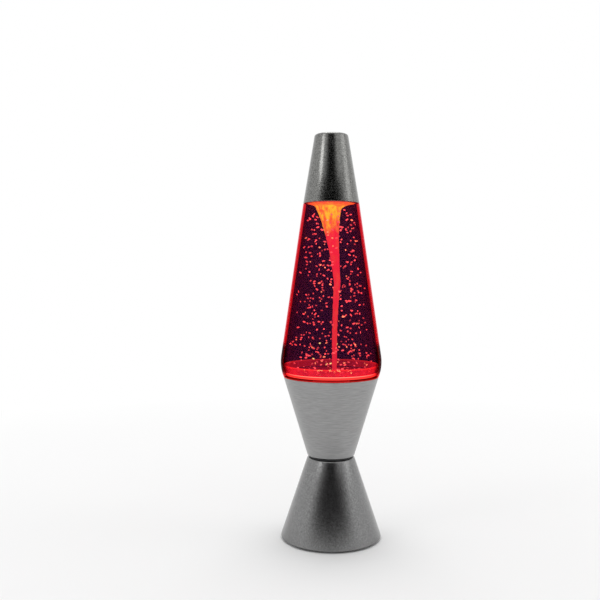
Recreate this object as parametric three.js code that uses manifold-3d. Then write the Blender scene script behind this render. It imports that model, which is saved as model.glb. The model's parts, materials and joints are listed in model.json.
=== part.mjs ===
// Tornado lamp: a clear bottle of liquid standing in a two-cone metal base under a metal cap.
// Millimetres, +Z up, the origin on the table at the middle of the base, the front towards -Y.

import * as THREE from 'three';
import { mergeVertices } from 'three/addons/utils/BufferGeometryUtils.js';
import Module from 'manifold-3d';

const wasm = await Module();
wasm.setup();

// Overall sizes
const lampHeight = 360;
const baseRadius = 45;
const waistRadius = 21;
const cupFootRadius = 20.9;
const rimRadius = 42.5;
const bulgeOverRim = 2.5;
const capEdgeRadius = 25;
const capTopRadius = 14.75;

// Heights above the table
const baseEdgeHeight = 1.5;
const waistHeight = 72.9;
const rimHeight = 145;
const capEdgeHeight = 299.2;

// Gaps between pieces that touch and pieces that are let in with room to spare
const clearance = 0.3;
const looseFit = 0.6;

// How finely round things are made
const shellSides = 44;
const middleSides = 24;
const smallSides = 10;
const cornerSteps = 2;
const bulgeSteps = 4;
const fullTurn = 2 * Math.PI;

// Sheet metal of the two cones and the cap
const sheet = 1.2;
const capSheet = 1;
const baseLipWidth = 2.2;
const baseEdgeRound = 1.1;
const waistCornerRound = 1.4;
const cupFootRound = 1.2;
const rimRound = 0.55;
const capTopRound = 1.8;
const capEdgeRound = 0.3;

// Waist: spacer ring, hollow tube and the nuts that pull both cones together
const waistRingInset = 1;
const waistRingThickness = 0.8;
const tubeRadius = 5;
const tubeBore = 3.4;
const tubeBelowNut = 3;
const tubeAboveNut = 1.2;
const nutAcrossFlats = 17;
const nutThickness = 4;
const hexSides = 6;

// Motor carrier
const carrierFootMargin = 0.5;
const carrierFootThickness = 2.2;
const carrierPlateThickness = 2.5;
const columnRadius = 2.4;
const columnGap = 3.1;
const columnCount = 3;
const columnFirstTurn = Math.PI / 2;

// Motor
const motorRadius = 10;
const motorLength = 20;
const motorBossRadius = 3;
const motorBossHeight = 1.5;
const motorCornerRound = 1;
const motorCapLength = 2.2;
const motorCapInset = 0.4;
const motorHubRadius = 3.4;
const motorHubLength = 1.2;
const shaftRadius = 1;
const shaftInDisc = 3;
const shaftInMotor = 12;

// Magnet holder on the shaft
const holderHubRadius = 4;
const holderHubLength = 7;
const holderHubAbovePlate = 5;
const holderDiscThickness = 6.8;
const holderDiscMargin = 1.5;
const magnetRadius = 4;
const magnetThickness = 3;
const magnetRingRadius = 7.5;
const magnetCount = 2;

// Light board and its lights
const boardThickness = 1.6;
const lightBoardHole = 9;
const lightCount = 6;
const lightEdgeGap = 1;
const lightSide = 5;
const lightHeight = 1.4;
const lightDomeRadius = 1.9;
const lightDomeHeight = 0.5;

// Light window over the board and the soft ring that the bottle stands on
const windowThickness = 2;
const windowSkirtInset = 0.5;
const windowSkirtThickness = 1.6;
const windowDomeWall = 1.5;
const windowDomeRoof = 1.4;
const rotorSideGap = 1.2;
const rotorTopGap = 0.8;
const wellUnderGap = 0.4;
const seatRingGap = 1;
const seatRingWidth = 1.8;
const seatRingThickness = 1.7;
const seatRingRound = 0.5;

// Bottle
const bottleWall = 2.4;
const bulgeRound = 38;
const bulgeRise = 13.4;
const skirtWall = 2.4;
const skirtLength = 14;
const ledgeRise = 1.5;
const capSeatRise = 3;
const neckRadius = 12.5;
const neckBore = 9.5;
const neckRootRise = 9.8;
const neckLength = 13;
const neckRootRound = 2;
const shoulderInnerDrop = 0.8;
const shoulderRound = 3;
const shoulderInnerRound = 2;

// Bottle floor with the well that the impeller turns in
const floorThickness = 2.2;
const wellSideGap = 3;
const wellWall = 1.6;
const wellDepth = 13.6;
const wellCornerRound = 2;
const pinBossRadius = 3;
const pinBossHeight = 2.2;
const pinRadius = 1.2;
const pinSeat = 0.8;
const pinLength = 8.7;

// Impeller
const impellerDiscThickness = 4.5;
const impellerDiscMargin = 1.5;
const impellerHubRadius = 3.2;
const impellerHubRise = 3;
const impellerMagnetRadius = 3;
const vaneCount = 4;
const vaneThickness = 1.2;
const vaneInner = 2.6;
const vaneInset = 0.6;
const vaneHeight = 3.4;
const vaneSunk = 0.5;

// Liquid and the funnel down its middle, which leans by shares of its greatest lean at shares of its depth
const liquidSides = 32;
const liquidOverCapEdge = 0.2;
const liquidWellDrop = 1;
const funnelFootGap = 1.6;
const funnelFootRadius = 1.5;
const funnelBellRadius = 11.8;
const funnelBellDepth = 32;
const funnelLipDepth = 1.4;
const funnelRings = 11;
const funnelRingPower = 2.2;
const funnelLean = 5.4;
const funnelLeanShares = [
  [0, 0],
  [0.034, -0.41],
  [0.134, -0.04],
  [0.3, 0.54],
  [0.47, 1],
  [0.565, 0.78],
  [0.77, 0.59],
  [1, 0.57],
];

// Stopper, its seal and the collar inside the cap
const stopperLength = 9;
const stopperShaftGap = 0.4;
const stopperFlangeInset = 0.5;
const stopperFlangeThickness = 2.4;
const stopperFlangeRound = 0.6;
const sealThickness = 1;
const collarRise = 2;
const collarHeight = 6;

// Base plate, its feet and screws
const plateThickness = 2.5;
const plateRecess = 0.3;
const plateEdgeRound = 0.4;
const plateRibInset = 13.5;
const plateRibThickness = 1.2;
const plateRibHeight = 1.8;
const footCount = 4;
const footRadius = 5.5;
const footRingInset = 9.5;
const footSunk = 1.4;
const footRound = 0.6;
const tabCount = 4;
const tabThickness = 1.2;
const tabWidth = 9;
const tabBeyondScrew = 3.9;
const baseScrewInset = 5.1;
const baseScrewRadius = 1.4;
const baseScrewHeadRadius = 2.7;
const baseScrewHeadHeight = 1.5;
const baseScrewLength = 4;
const smallScrewRadius = 0.9;
const smallScrewHeadRadius = 1.9;
const smallScrewHeadHeight = 1.2;
const motorScrewRing = 5.5;
const motorScrewLength = 4.4;
const lightScrewRing = 13.5;
const lightScrewTurn = Math.PI / 3;
const lightScrewLength = 3.4;
const boardScrewLength = 6;
const recessArmShare = 0.62;
const recessWidthShare = 0.2;
const recessDepthShare = 0.5;

// Control board on posts of the base plate
const postHeight = 6.4;
const postRadius = 3;
const postInset = 4;
const controlBoardHalfWidth = 20;
const controlBoardAhead = 8;
const chipSide = 8;
const chipHeight = 1.4;
const chipAcross = -9;
const chipDeep = 8;
const plugWidth = 9;
const plugDepth = 5;
const plugHeight = 6;

// Internal leads
const leadRadius = 0.9;
const leadAcross = 1.8;
const leadTightShare = 0.3;
const leadSides = 6;
const leadTurnGap = 3.2;
const leadPastMotor = 1.6;
const motorLeadAcross = 6;
const leadSteps = 16;

// Rear insert with the power inlet and the push button
const insertHalfWidth = 14;
const insertBelowBoard = 1.2;
const insertHeight = 13.4;
const insertDepth = 2.8;
const insertFlange = 1.8;
const insertWall = 1.8;
const insertPlateThickness = 2;
const insertRecess = 1.9;
const inletAcross = -6;
const inletWidth = 7.7;
const inletHeight = 3.9;
const inletLength = 9.4;
const inletProud = 0.3;
const inletSheet = 0.4;
const inletChamfer = 0.9;
const tongueWidth = 4;
const tongueThickness = 0.9;
const tongueInset = 1.2;
const buttonAcross = 7.5;
const buttonRise = 6.8;
const buttonRadius = 3.4;
const buttonProud = 1.6;
const buttonFlangeRadius = 4.4;
const buttonFlangeThickness = 1.2;
const buttonStemRadius = 1.6;
const buttonStemLength = 1.2;
const buttonEdgeRound = 0.6;
const switchSide = 6;
const switchDepth = 3.6;
const switchTravelRoom = 1.4;

// The radius at a height on the straight side between two given radii
function straightSide(lowRadius, lowHeight, highRadius, highHeight) {
  const slope = (highRadius - lowRadius) / (highHeight - lowHeight);
  return (height) => lowRadius + slope * (height - lowHeight);
}

// Stack at the waist: cone top, ring, cup foot, carrier foot and the two nuts round the tube
const tubeHoleRadius = tubeRadius + clearance;
const waistRingRadius = waistRadius - waistRingInset;
const waistRingBottom = waistHeight + clearance;
const cupFootHeight = waistRingBottom + waistRingThickness + clearance;
const cupFloorTop = cupFootHeight + sheet;
const lowerNutBottom = waistHeight - sheet - clearance - nutThickness;
const carrierBottom = cupFloorTop + clearance;
const carrierFootTop = carrierBottom + carrierFootThickness;
const upperNutBottom = carrierFootTop + clearance;
const upperNutTop = upperNutBottom + nutThickness;
const tubeBottom = lowerNutBottom - tubeBelowNut;
const tubeTop = upperNutTop + tubeAboveNut;

// Sides of the two cones and the cap
const lowerConeAt = straightSide(baseRadius, baseEdgeHeight, waistRadius, waistHeight);
const upperCupAt = straightSide(cupFootRadius, cupFootHeight, rimRadius, rimHeight);
const capAt = straightSide(capEdgeRadius, capEdgeHeight, capTopRadius, lampHeight);

function cupInnerAt(height) {
  return upperCupAt(height) - sheet;
}

// Bottle, its floor and the well, all set from the cup's rim
const bottleRadius = rimRadius + bulgeOverRim;
const bulgeHeight = rimHeight + bulgeRise;
const skirtBottom = rimHeight - skirtLength;
const stepHeight = rimHeight + clearance;
const ledgeHeight = rimHeight + ledgeRise;
const floorUnder = ledgeHeight + clearance;
const floorTop = floorUnder + floorThickness;
const wellBottom = floorTop - wellDepth;
const wellFloor = wellBottom + wellWall;
const pinBossTop = wellFloor + pinBossHeight;
const pinBottom = wellFloor + pinSeat;
const impellerBottom = pinBossTop + clearance;
const impellerDiscTop = impellerBottom + impellerDiscThickness;
const impellerDiscRadius = magnetRingRadius + impellerMagnetRadius + impellerDiscMargin;
const wellInner = impellerDiscRadius + wellSideGap;

// Rotor under the window's dome, and the window on the skirt of the bottle
const windowDomeTop = wellBottom - wellUnderGap;
const windowDomeUnder = windowDomeTop - windowDomeRoof;
const holderDiscTop = windowDomeUnder - rotorTopGap;
const holderDiscBottom = holderDiscTop - holderDiscThickness;
const holderHubBottom = holderDiscBottom - holderHubLength;
const holderDiscRadius = magnetRingRadius + magnetRadius + holderDiscMargin;
const shaftTop = holderDiscBottom + shaftInDisc;
const windowDomeInner = holderDiscRadius + rotorSideGap;
const seatRingBottom = skirtBottom - clearance - seatRingThickness;
const seatRingOuter = cupInnerAt(seatRingBottom) - seatRingGap;
const seatRingInner = seatRingOuter - seatRingWidth;
const windowTop = seatRingBottom - clearance;
const windowBottom = windowTop - windowThickness;

// Carrier plate, motor below it and light board above it
const carrierPlateBottom = holderHubBottom - holderHubAbovePlate;
const carrierPlateTop = carrierPlateBottom + carrierPlateThickness;
const carrierPlateRadius = cupInnerAt(carrierPlateBottom) - looseFit;
const columnRingRadius = motorRadius + columnGap + columnRadius;
const carrierFootRadius = columnRingRadius + columnRadius + carrierFootMargin;
const motorTop = carrierPlateBottom - clearance;
const motorBottom = motorTop - motorLength;
const motorCapBottom = motorBottom - clearance - motorCapLength;
const lightBoardBottom = carrierPlateTop + clearance;
const lightBoardTop = lightBoardBottom + boardThickness;
const lightBoardRadius = carrierPlateRadius - looseFit;
const windowSkirtOuter = lightBoardRadius - windowSkirtInset;
const windowSkirtInner = windowSkirtOuter - windowSkirtThickness;
const lightRingRadius = windowSkirtInner - lightEdgeGap - lightSide / 2;

// Neck, liquid and stopper, set from the cap's edge
const neckRootHeight = capEdgeHeight + neckRootRise;
const neckTop = neckRootHeight + neckLength;
const liquidTop = capEdgeHeight + liquidOverCapEdge;
const funnelFoot = floorTop + funnelFootGap;
const stopperFlangeBottom = neckTop + sealThickness + 2 * clearance;
const stopperFlangeRadius = neckRadius - stopperFlangeInset;
const collarBottom = neckRootHeight + collarRise;

// Base plate, tabs and control board
const plateRadius = baseRadius - baseLipWidth - clearance;
const plateBottom = baseEdgeHeight + plateRecess;
const plateTop = plateBottom + plateThickness;
const plateRibRadius = plateRadius - plateRibInset;
const footRingRadius = plateRadius - footRingInset;
const baseScrewRingRadius = plateRadius - baseScrewInset;
const tabInner = baseScrewRingRadius - tabBeyondScrew;
const tabBottom = plateTop + clearance;
const postTop = plateTop + postHeight;
const controlBoardBottom = postTop + clearance;
const controlBoardTop = controlBoardBottom + boardThickness;

// Rear insert, set back from the cone where the insert's top meets it
const insertBottom = controlBoardBottom - insertBelowBoard;
const insertTop = insertBottom + insertHeight;
const insertPlateFront = lowerConeAt(insertTop) - insertRecess;
const insertPlateBack = insertPlateFront - insertPlateThickness;
const insertBack = insertPlateBack - insertDepth;
const inletBottom = controlBoardTop + clearance;
const inletFront = insertPlateFront + inletProud;
const buttonHeight = insertBottom + buttonRise;
const buttonFlangeFront = insertPlateBack - clearance;
const buttonFlangeBack = buttonFlangeFront - buttonFlangeThickness;
const buttonStemBack = buttonFlangeBack - buttonStemLength;
const controlBoardRear = insertBack - looseFit;

// The bottle's side is a straight taper that runs tangent into a round bulge above the rim
const bulgeCentreRadius = bottleRadius - bulgeRound;
const taperEndRise = capEdgeHeight - bulgeHeight;
const taperEndRun = capEdgeRadius - bulgeCentreRadius;
const taperTurn = Math.atan2(taperEndRise, taperEndRun)
  - Math.acos(bulgeRound / Math.hypot(taperEndRise, taperEndRun));

function tangentHeight(inset) {
  return bulgeHeight + (bulgeRound - inset) * Math.sin(taperTurn);
}

function bottleSideAt(height, inset) {
  const round = bulgeRound - inset;
  if (height <= tangentHeight(inset)) {
    return bulgeCentreRadius + Math.sqrt(round ** 2 - (height - bulgeHeight) ** 2);
  }
  const tangentRadius = bulgeCentreRadius + round * Math.cos(taperTurn);
  return tangentRadius - (height - tangentHeight(inset)) * Math.tan(taperTurn);
}

// Points up the bottle's bulge from a starting height to where the straight taper begins
function bulgePoints(fromHeight, inset) {
  const points = [];
  for (let step = 0; step <= bulgeSteps; step += 1) {
    const height = fromHeight + (tangentHeight(inset) - fromHeight) * step / bulgeSteps;
    points.push([bottleSideAt(height, inset), height]);
  }
  return points;
}

// An outline with its corners rounded: each point is [radius, height] or [radius, height, round]
function roundedOutline(corners, closed) {
  const outline = [];
  corners.forEach((corner, index) => {
    const before = corners[(index + corners.length - 1) % corners.length];
    const after = corners[(index + 1) % corners.length];
    const isEnd = !closed && (index === 0 || index === corners.length - 1);
    const here = new THREE.Vector2(corner[0], corner[1]);
    if (isEnd || corner.length < 3) {
      outline.push(here);
      return;
    }
    const back = new THREE.Vector2(before[0], before[1]).sub(here).normalize();
    const ahead = new THREE.Vector2(after[0], after[1]).sub(here).normalize();
    const halfAngle = Math.acos(back.dot(ahead)) / 2;
    const middle = back.clone().add(ahead).normalize();
    const centre = here.clone().addScaledVector(middle, corner[2] / Math.sin(halfAngle));
    const reach = corner[2] / Math.tan(halfAngle);
    const start = here.clone().addScaledVector(back, reach).sub(centre);
    const end = here.clone().addScaledVector(ahead, reach).sub(centre);
    let sweep = end.angle() - start.angle();
    sweep = Math.atan2(Math.sin(sweep), Math.cos(sweep));
    for (let step = 0; step <= cornerSteps; step += 1) {
      const turned = start.clone().rotateAround(new THREE.Vector2(), sweep * step / cornerSteps);
      outline.push(turned.add(centre));
    }
  });
  return outline;
}

// A solid turned about Z from an outline that starts and ends on the axis
function turned(corners, sides) {
  const geometry = new THREE.LatheGeometry(roundedOutline(corners, false), sides);
  return geometry.rotateX(Math.PI / 2);
}

// A ring turned about Z from an outline that closes on itself
function turnedRing(corners, sides) {
  const outline = roundedOutline(corners, true);
  outline.push(outline[0].clone());
  return new THREE.LatheGeometry(outline, sides).rotateX(Math.PI / 2);
}

function disc(radius, bottom, top, sides) {
  return turned([[0, bottom], [radius, bottom], [radius, top], [0, top]], sides);
}

function ring(inner, outer, bottom, top, sides) {
  return turnedRing([[inner, bottom], [outer, bottom], [outer, top], [inner, top]], sides);
}

function block(left, right, front, rear, bottom, top) {
  const geometry = new THREE.BoxGeometry(right - left, rear - front, top - bottom);
  return geometry.translate((left + right) / 2, (front + rear) / 2, (bottom + top) / 2);
}

// Conversions between three.js geometry and solids that can be joined and cut
function solid(shape) {
  if (!shape.isBufferGeometry) {
    return shape;
  }
  const bare = shape.clone();
  bare.deleteAttribute('normal');
  bare.deleteAttribute('uv');
  const merged = mergeVertices(bare);
  return new wasm.Manifold(new wasm.Mesh({
    numProp: 3,
    vertProperties: new Float32Array(merged.attributes.position.array),
    triVerts: new Uint32Array(merged.index.array),
  }));
}

function geometryOf(shape) {
  const mesh = shape.getMesh();
  const geometry = new THREE.BufferGeometry();
  geometry.setAttribute('position', new THREE.BufferAttribute(mesh.vertProperties, mesh.numProp));
  geometry.setIndex(new THREE.BufferAttribute(mesh.triVerts, 1));
  return geometry;
}

function cutAll(shape, cutters) {
  return cutters.reduce((left, cutter) => left.subtract(solid(cutter)), solid(shape));
}

function joinAll(shapes) {
  return shapes.map(solid).reduce((whole, shape) => whole.add(shape));
}

// Evenly spaced places round the axis
function placesRound(count, radius, firstTurn) {
  return Array.from({ length: count }, (unused, index) => {
    const turn = firstTurn + fullTurn * index / count;
    return [radius * Math.cos(turn), radius * Math.sin(turn)];
  });
}

// Materials
function metal(color, roughness) {
  return new THREE.MeshStandardMaterial({ color, roughness, metalness: 1 });
}

function plastic(color, roughness) {
  return new THREE.MeshStandardMaterial({ color, roughness, metalness: 0 });
}

function seeThrough(color, opacity) {
  return new THREE.MeshStandardMaterial({ color, roughness: 0.1, metalness: 0, transparent: true, opacity });
}

const aluminium = metal('#b4b5b8', 0.38);
const steel = metal('#a8a9ab', 0.35);
const magnetNickel = metal('#c4c4c2', 0.25);
const blackPlastic = plastic('#19191b', 0.55);
const whitePlastic = plastic('#dedcd6', 0.5);
const blackRubber = plastic('#151515', 0.85);
const boardGreen = plastic('#1e5a36', 0.5);
const lightYellow = plastic('#f0dca0', 0.4);
const leadGrey = plastic('#3c3c40', 0.6);
const windowClear = seeThrough('#f4ece8', 0.6);
const bottleClear = seeThrough('#f4dcdc', 0.35);
const floorRed = plastic('#c8282a', 0.35);
const liquidPlum = seeThrough('#38102c', 0.8);

const lamp = new THREE.Group();
lamp.name = 'tornado_lamp';

function addPiece(name, shape, material) {
  const geometry = shape.isBufferGeometry ? shape : geometryOf(shape);
  const mesh = new THREE.Mesh(geometry, material);
  mesh.name = name;
  lamp.add(mesh);
}

// Screws: a slotted cross in the head, the shank running down from the head's underside at zero
function screwGeometry(shankRadius, headRadius, headHeight, length) {
  const arm = headRadius * recessArmShare;
  const half = headRadius * recessWidthShare;
  const recessFloor = headHeight * recessDepthShare;
  const body = turned([
    [0, -length],
    [shankRadius, -length],
    [shankRadius, 0],
    [headRadius, 0],
    [headRadius, headHeight],
    [0, headHeight],
  ], smallSides);
  return geometryOf(cutAll(body, [
    block(-arm, arm, -half, half, recessFloor, headHeight + clearance),
    block(-half, half, -arm, arm, recessFloor, headHeight + clearance),
  ]));
}

function smallScrew(length, x, y, seat) {
  return screwGeometry(smallScrewRadius, smallScrewHeadRadius, smallScrewHeadHeight, length)
    .translate(x, y, seat);
}

function smallScrewHole(x, y, bottom, top) {
  return disc(smallScrewRadius + clearance, bottom, top, smallSides).translate(x, y, 0);
}

// Lower cone: spun sheet with a turned-in lip and four tabs that hold the base plate
function baseScrewPlaces() {
  return placesRound(tabCount, baseScrewRingRadius, 0);
}

function lowerConeShell() {
  return turnedRing([
    [baseRadius - baseLipWidth, baseEdgeHeight],
    [baseRadius, baseEdgeHeight, baseEdgeRound],
    [waistRadius, waistHeight, waistCornerRound],
    [tubeHoleRadius, waistHeight],
    [tubeHoleRadius, waistHeight - sheet],
    [lowerConeAt(waistHeight - sheet) - sheet, waistHeight - sheet],
    [lowerConeAt(plateBottom) - sheet, plateBottom],
    [baseRadius - baseLipWidth, plateBottom],
  ], shellSides);
}

function plateTab(index) {
  const outer = lowerConeAt(tabBottom + tabThickness) - sheet / 2;
  return block(tabInner, outer, -tabWidth / 2, tabWidth / 2, tabBottom, tabBottom + tabThickness)
    .rotateZ(fullTurn * index / tabCount);
}

function insertCutOut() {
  return block(-insertHalfWidth - clearance, insertHalfWidth + clearance, insertBack, baseRadius,
    insertBottom - clearance, insertTop + clearance);
}

function addLowerCone() {
  const tabs = Array.from({ length: tabCount }, (unused, index) => plateTab(index));
  const screwHoles = baseScrewPlaces().map(([x, y]) => disc(
    baseScrewRadius + clearance, tabBottom - clearance, tabBottom + tabThickness + clearance, smallSides,
  ).translate(x, y, 0));
  const whole = joinAll([lowerConeShell(), ...tabs]);
  addPiece('lower_cone', cutAll(whole, [insertCutOut(), ...screwHoles]), aluminium);
}

function addWaistRing() {
  addPiece('waist_ring', ring(tubeHoleRadius, waistRingRadius, waistRingBottom,
    waistRingBottom + waistRingThickness, shellSides), blackPlastic);
}

// Upper cup: spun sheet, open above, its rim carrying the bottle
function addUpperCup() {
  addPiece('upper_cup', turnedRing([
    [tubeHoleRadius, cupFootHeight],
    [cupFootRadius, cupFootHeight, cupFootRound],
    [rimRadius, rimHeight, rimRound],
    [rimRadius - sheet, rimHeight, rimRound],
    [upperCupAt(cupFloorTop) - sheet, cupFloorTop],
    [tubeHoleRadius, cupFloorTop],
  ], shellSides), aluminium);
}

// Waist tube and nuts
function addWaistTube() {
  addPiece('waist_tube', ring(tubeBore, tubeRadius, tubeBottom, tubeTop, middleSides), steel);
}

function addNut(name, bottom) {
  const outline = new THREE.Shape(placesRound(hexSides, nutAcrossFlats / Math.sqrt(3), 0)
    .map(([x, y]) => new THREE.Vector2(x, y)));
  outline.holes.push(new THREE.Path().absarc(0, 0, tubeHoleRadius, 0, fullTurn, true));
  const geometry = new THREE.ExtrudeGeometry(outline, {
    depth: nutThickness,
    bevelEnabled: false,
    curveSegments: smallSides,
  });
  addPiece(name, geometry.translate(0, 0, bottom), steel);
}

// Motor carrier: a foot under the upper nut, three columns and the plate that the motor hangs from
function motorScrewPlaces() {
  return placesRound(2, motorScrewRing, Math.PI / 2);
}

function lightScrewPlaces() {
  return placesRound(2, lightScrewRing, lightScrewTurn);
}

function lightLeadPlace() {
  return motorRadius + leadPastMotor + leadRadius;
}

function addMotorCarrier() {
  const columns = placesRound(columnCount, columnRingRadius, columnFirstTurn)
    .map(([x, y]) => disc(columnRadius, carrierBottom, carrierPlateTop, smallSides).translate(x, y, 0));
  const whole = joinAll([
    ring(tubeHoleRadius, carrierFootRadius, carrierBottom, carrierFootTop, middleSides),
    ring(motorBossRadius + clearance, carrierPlateRadius, carrierPlateBottom, carrierPlateTop, middleSides),
    ...columns,
  ]);
  const leadHole = disc(leadRadius + clearance, motorTop, lightBoardBottom, smallSides)
    .translate(lightLeadPlace(), 0, 0);
  const holes = [...motorScrewPlaces(), ...lightScrewPlaces()]
    .map(([x, y]) => smallScrewHole(x, y, motorTop, lightBoardBottom));
  addPiece('motor_carrier', cutAll(whole, [leadHole, ...holes]), whitePlastic);
}

// Motor: a can with a bore for the shaft and two screw holes in its face
function addMotor() {
  const can = turned([
    [0, motorBottom],
    [motorRadius, motorBottom],
    [motorRadius, motorTop, motorCornerRound],
    [motorBossRadius, motorTop],
    [motorBossRadius, motorTop + motorBossHeight],
    [0, motorTop + motorBossHeight],
  ], middleSides);
  const bore = disc(shaftRadius + clearance, motorTop - shaftInMotor, motorTop + 2 * motorBossHeight,
    smallSides);
  const screwHoles = motorScrewPlaces()
    .map(([x, y]) => smallScrewHole(x, y, carrierPlateTop - motorScrewLength, carrierPlateTop));
  addPiece('motor_can', cutAll(can, [bore, ...screwHoles]), steel);
}

function addMotorEndCap() {
  addPiece('motor_end_cap', turned([
    [0, motorCapBottom - motorHubLength],
    [motorHubRadius, motorCapBottom - motorHubLength],
    [motorHubRadius, motorCapBottom],
    [motorRadius - motorCapInset, motorCapBottom],
    [motorRadius - motorCapInset, motorCapBottom + motorCapLength],
    [0, motorCapBottom + motorCapLength],
  ], middleSides), blackPlastic);
}

function addMotorScrews() {
  motorScrewPlaces().forEach(([x, y], index) => {
    addPiece(`motor_screw_${index + 1}`,
      smallScrew(motorScrewLength, x, y, carrierPlateTop + clearance), steel);
  });
}

// Rotor: shaft, magnet holder and two magnets under the window's dome
function addMotorShaft() {
  addPiece('motor_shaft', disc(shaftRadius, motorTop - shaftInMotor + clearance, shaftTop, smallSides), steel);
}

function drivePlaces() {
  return placesRound(magnetCount, magnetRingRadius, 0);
}

function addMagnetHolder() {
  const body = turned([
    [0, holderHubBottom],
    [holderHubRadius, holderHubBottom],
    [holderHubRadius, holderDiscBottom],
    [holderDiscRadius, holderDiscBottom],
    [holderDiscRadius, holderDiscTop],
    [0, holderDiscTop],
  ], middleSides);
  const shaftBore = disc(shaftRadius + clearance, holderHubBottom - clearance, shaftTop + clearance,
    smallSides);
  const pockets = drivePlaces().map(([x, y]) => disc(
    magnetRadius + clearance, holderDiscTop - magnetThickness - clearance, holderDiscTop + clearance,
    middleSides,
  ).translate(x, y, 0));
  addPiece('magnet_holder', cutAll(body, [shaftBore, ...pockets]), blackPlastic);
}

function addDriveMagnets() {
  drivePlaces().forEach(([x, y], index) => {
    addPiece(`drive_magnet_${index + 1}`,
      disc(magnetRadius, holderDiscTop - magnetThickness, holderDiscTop, middleSides).translate(x, y, 0),
      magnetNickel);
  });
}

// Light board, lights and screws
function addLightBoard() {
  const holes = lightScrewPlaces()
    .map(([x, y]) => smallScrewHole(x, y, carrierPlateTop, lightBoardTop + clearance));
  addPiece('light_board', cutAll(
    ring(lightBoardHole, lightBoardRadius, lightBoardBottom, lightBoardTop, middleSides), holes,
  ), boardGreen);
}

function addLights() {
  const half = lightSide / 2;
  const bottom = lightBoardTop + clearance;
  const top = bottom + lightHeight;
  for (let index = 0; index < lightCount; index += 1) {
    const body = block(lightRingRadius - half, lightRingRadius + half, -half, half, bottom, top);
    const dome = disc(lightDomeRadius, bottom, top + lightDomeHeight, smallSides)
      .translate(lightRingRadius, 0, 0);
    const light = geometryOf(joinAll([body, dome]));
    addPiece(`light_${index + 1}`, light.rotateZ(fullTurn * index / lightCount), lightYellow);
  }
}

function addLightBoardScrews() {
  lightScrewPlaces().forEach(([x, y], index) => {
    addPiece(`light_board_screw_${index + 1}`,
      smallScrew(lightScrewLength, x, y, lightBoardTop + clearance), steel);
  });
}

// Light window: a disc across the cup with a dome over the rotor and a skirt down to the board
function addLightWindow() {
  const edge = cupInnerAt(windowBottom) - clearance;
  const domeOuter = windowDomeInner + windowDomeWall;
  addPiece('light_window', turned([
    [0, windowDomeUnder],
    [windowDomeInner, windowDomeUnder],
    [windowDomeInner, windowBottom],
    [windowSkirtInner, windowBottom],
    [windowSkirtInner, lightBoardTop + clearance],
    [windowSkirtOuter, lightBoardTop + clearance],
    [windowSkirtOuter, windowBottom],
    [edge, windowBottom],
    [edge, windowTop],
    [domeOuter, windowTop],
    [domeOuter, windowDomeTop],
    [0, windowDomeTop],
  ], middleSides), windowClear);
}

function addSeatRing() {
  addPiece('seat_ring', turnedRing([
    [seatRingInner, seatRingBottom],
    [seatRingOuter, seatRingBottom],
    [seatRingOuter, seatRingBottom + seatRingThickness, seatRingRound],
    [seatRingInner, seatRingBottom + seatRingThickness, seatRingRound],
  ], middleSides), blackRubber);
}

// Bottle: a skirt inside the cup, a step on the rim, the bulge and taper, a seat for the cap and a neck
function addBottle() {
  const capSeatHeight = capEdgeHeight - clearance;
  const insideCap = capSheet + clearance;
  const capSeatTop = capSeatHeight + capSeatRise;
  const innerTop = capSeatTop - shoulderInnerDrop;
  const outer = [
    [cupInnerAt(skirtBottom) - clearance - skirtWall, skirtBottom],
    [cupInnerAt(skirtBottom) - clearance, skirtBottom],
    [cupInnerAt(stepHeight) - clearance, stepHeight],
    ...bulgePoints(stepHeight, 0),
    [bottleSideAt(capSeatHeight, 0), capSeatHeight],
    [capAt(capEdgeHeight) - insideCap, capSeatHeight],
    [capAt(capSeatTop) - insideCap, capSeatTop, shoulderRound],
    [neckRadius, neckRootHeight, neckRootRound],
    [neckRadius, neckTop],
  ];
  const inner = [
    [neckBore, neckTop],
    [neckBore, neckRootHeight],
    [bottleSideAt(innerTop, bottleWall), innerTop, shoulderInnerRound],
    ...bulgePoints(ledgeHeight, bottleWall).reverse(),
    [cupInnerAt(ledgeHeight) - clearance - skirtWall, ledgeHeight],
  ];
  addPiece('bottle', turnedRing([...outer, ...inner], shellSides), bottleClear);
}

// Bottle floor: a disc on the ledge with the impeller's well hanging from it
function addBottleFloor() {
  const floorEdge = bottleSideAt(floorUnder, bottleWall) - clearance;
  addPiece('bottle_floor', turned([
    [0, wellBottom],
    [wellInner + wellWall, wellBottom, wellCornerRound],
    [wellInner + wellWall, floorUnder],
    [floorEdge, floorUnder],
    [floorEdge, floorTop],
    [wellInner, floorTop],
    [wellInner, wellFloor],
    [pinBossRadius, wellFloor],
    [pinBossRadius, pinBossTop],
    [pinRadius + clearance, pinBossTop],
    [pinRadius + clearance, pinBottom - clearance],
    [0, pinBottom - clearance],
  ], middleSides), floorRed);
}

function addImpellerPin() {
  addPiece('impeller_pin', disc(pinRadius, pinBottom, pinBottom + pinLength, smallSides), steel);
}

// Impeller: a disc with two magnets below and four vanes above, running on the pin
function impellerMagnetTop() {
  return impellerBottom + clearance + magnetThickness;
}

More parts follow.
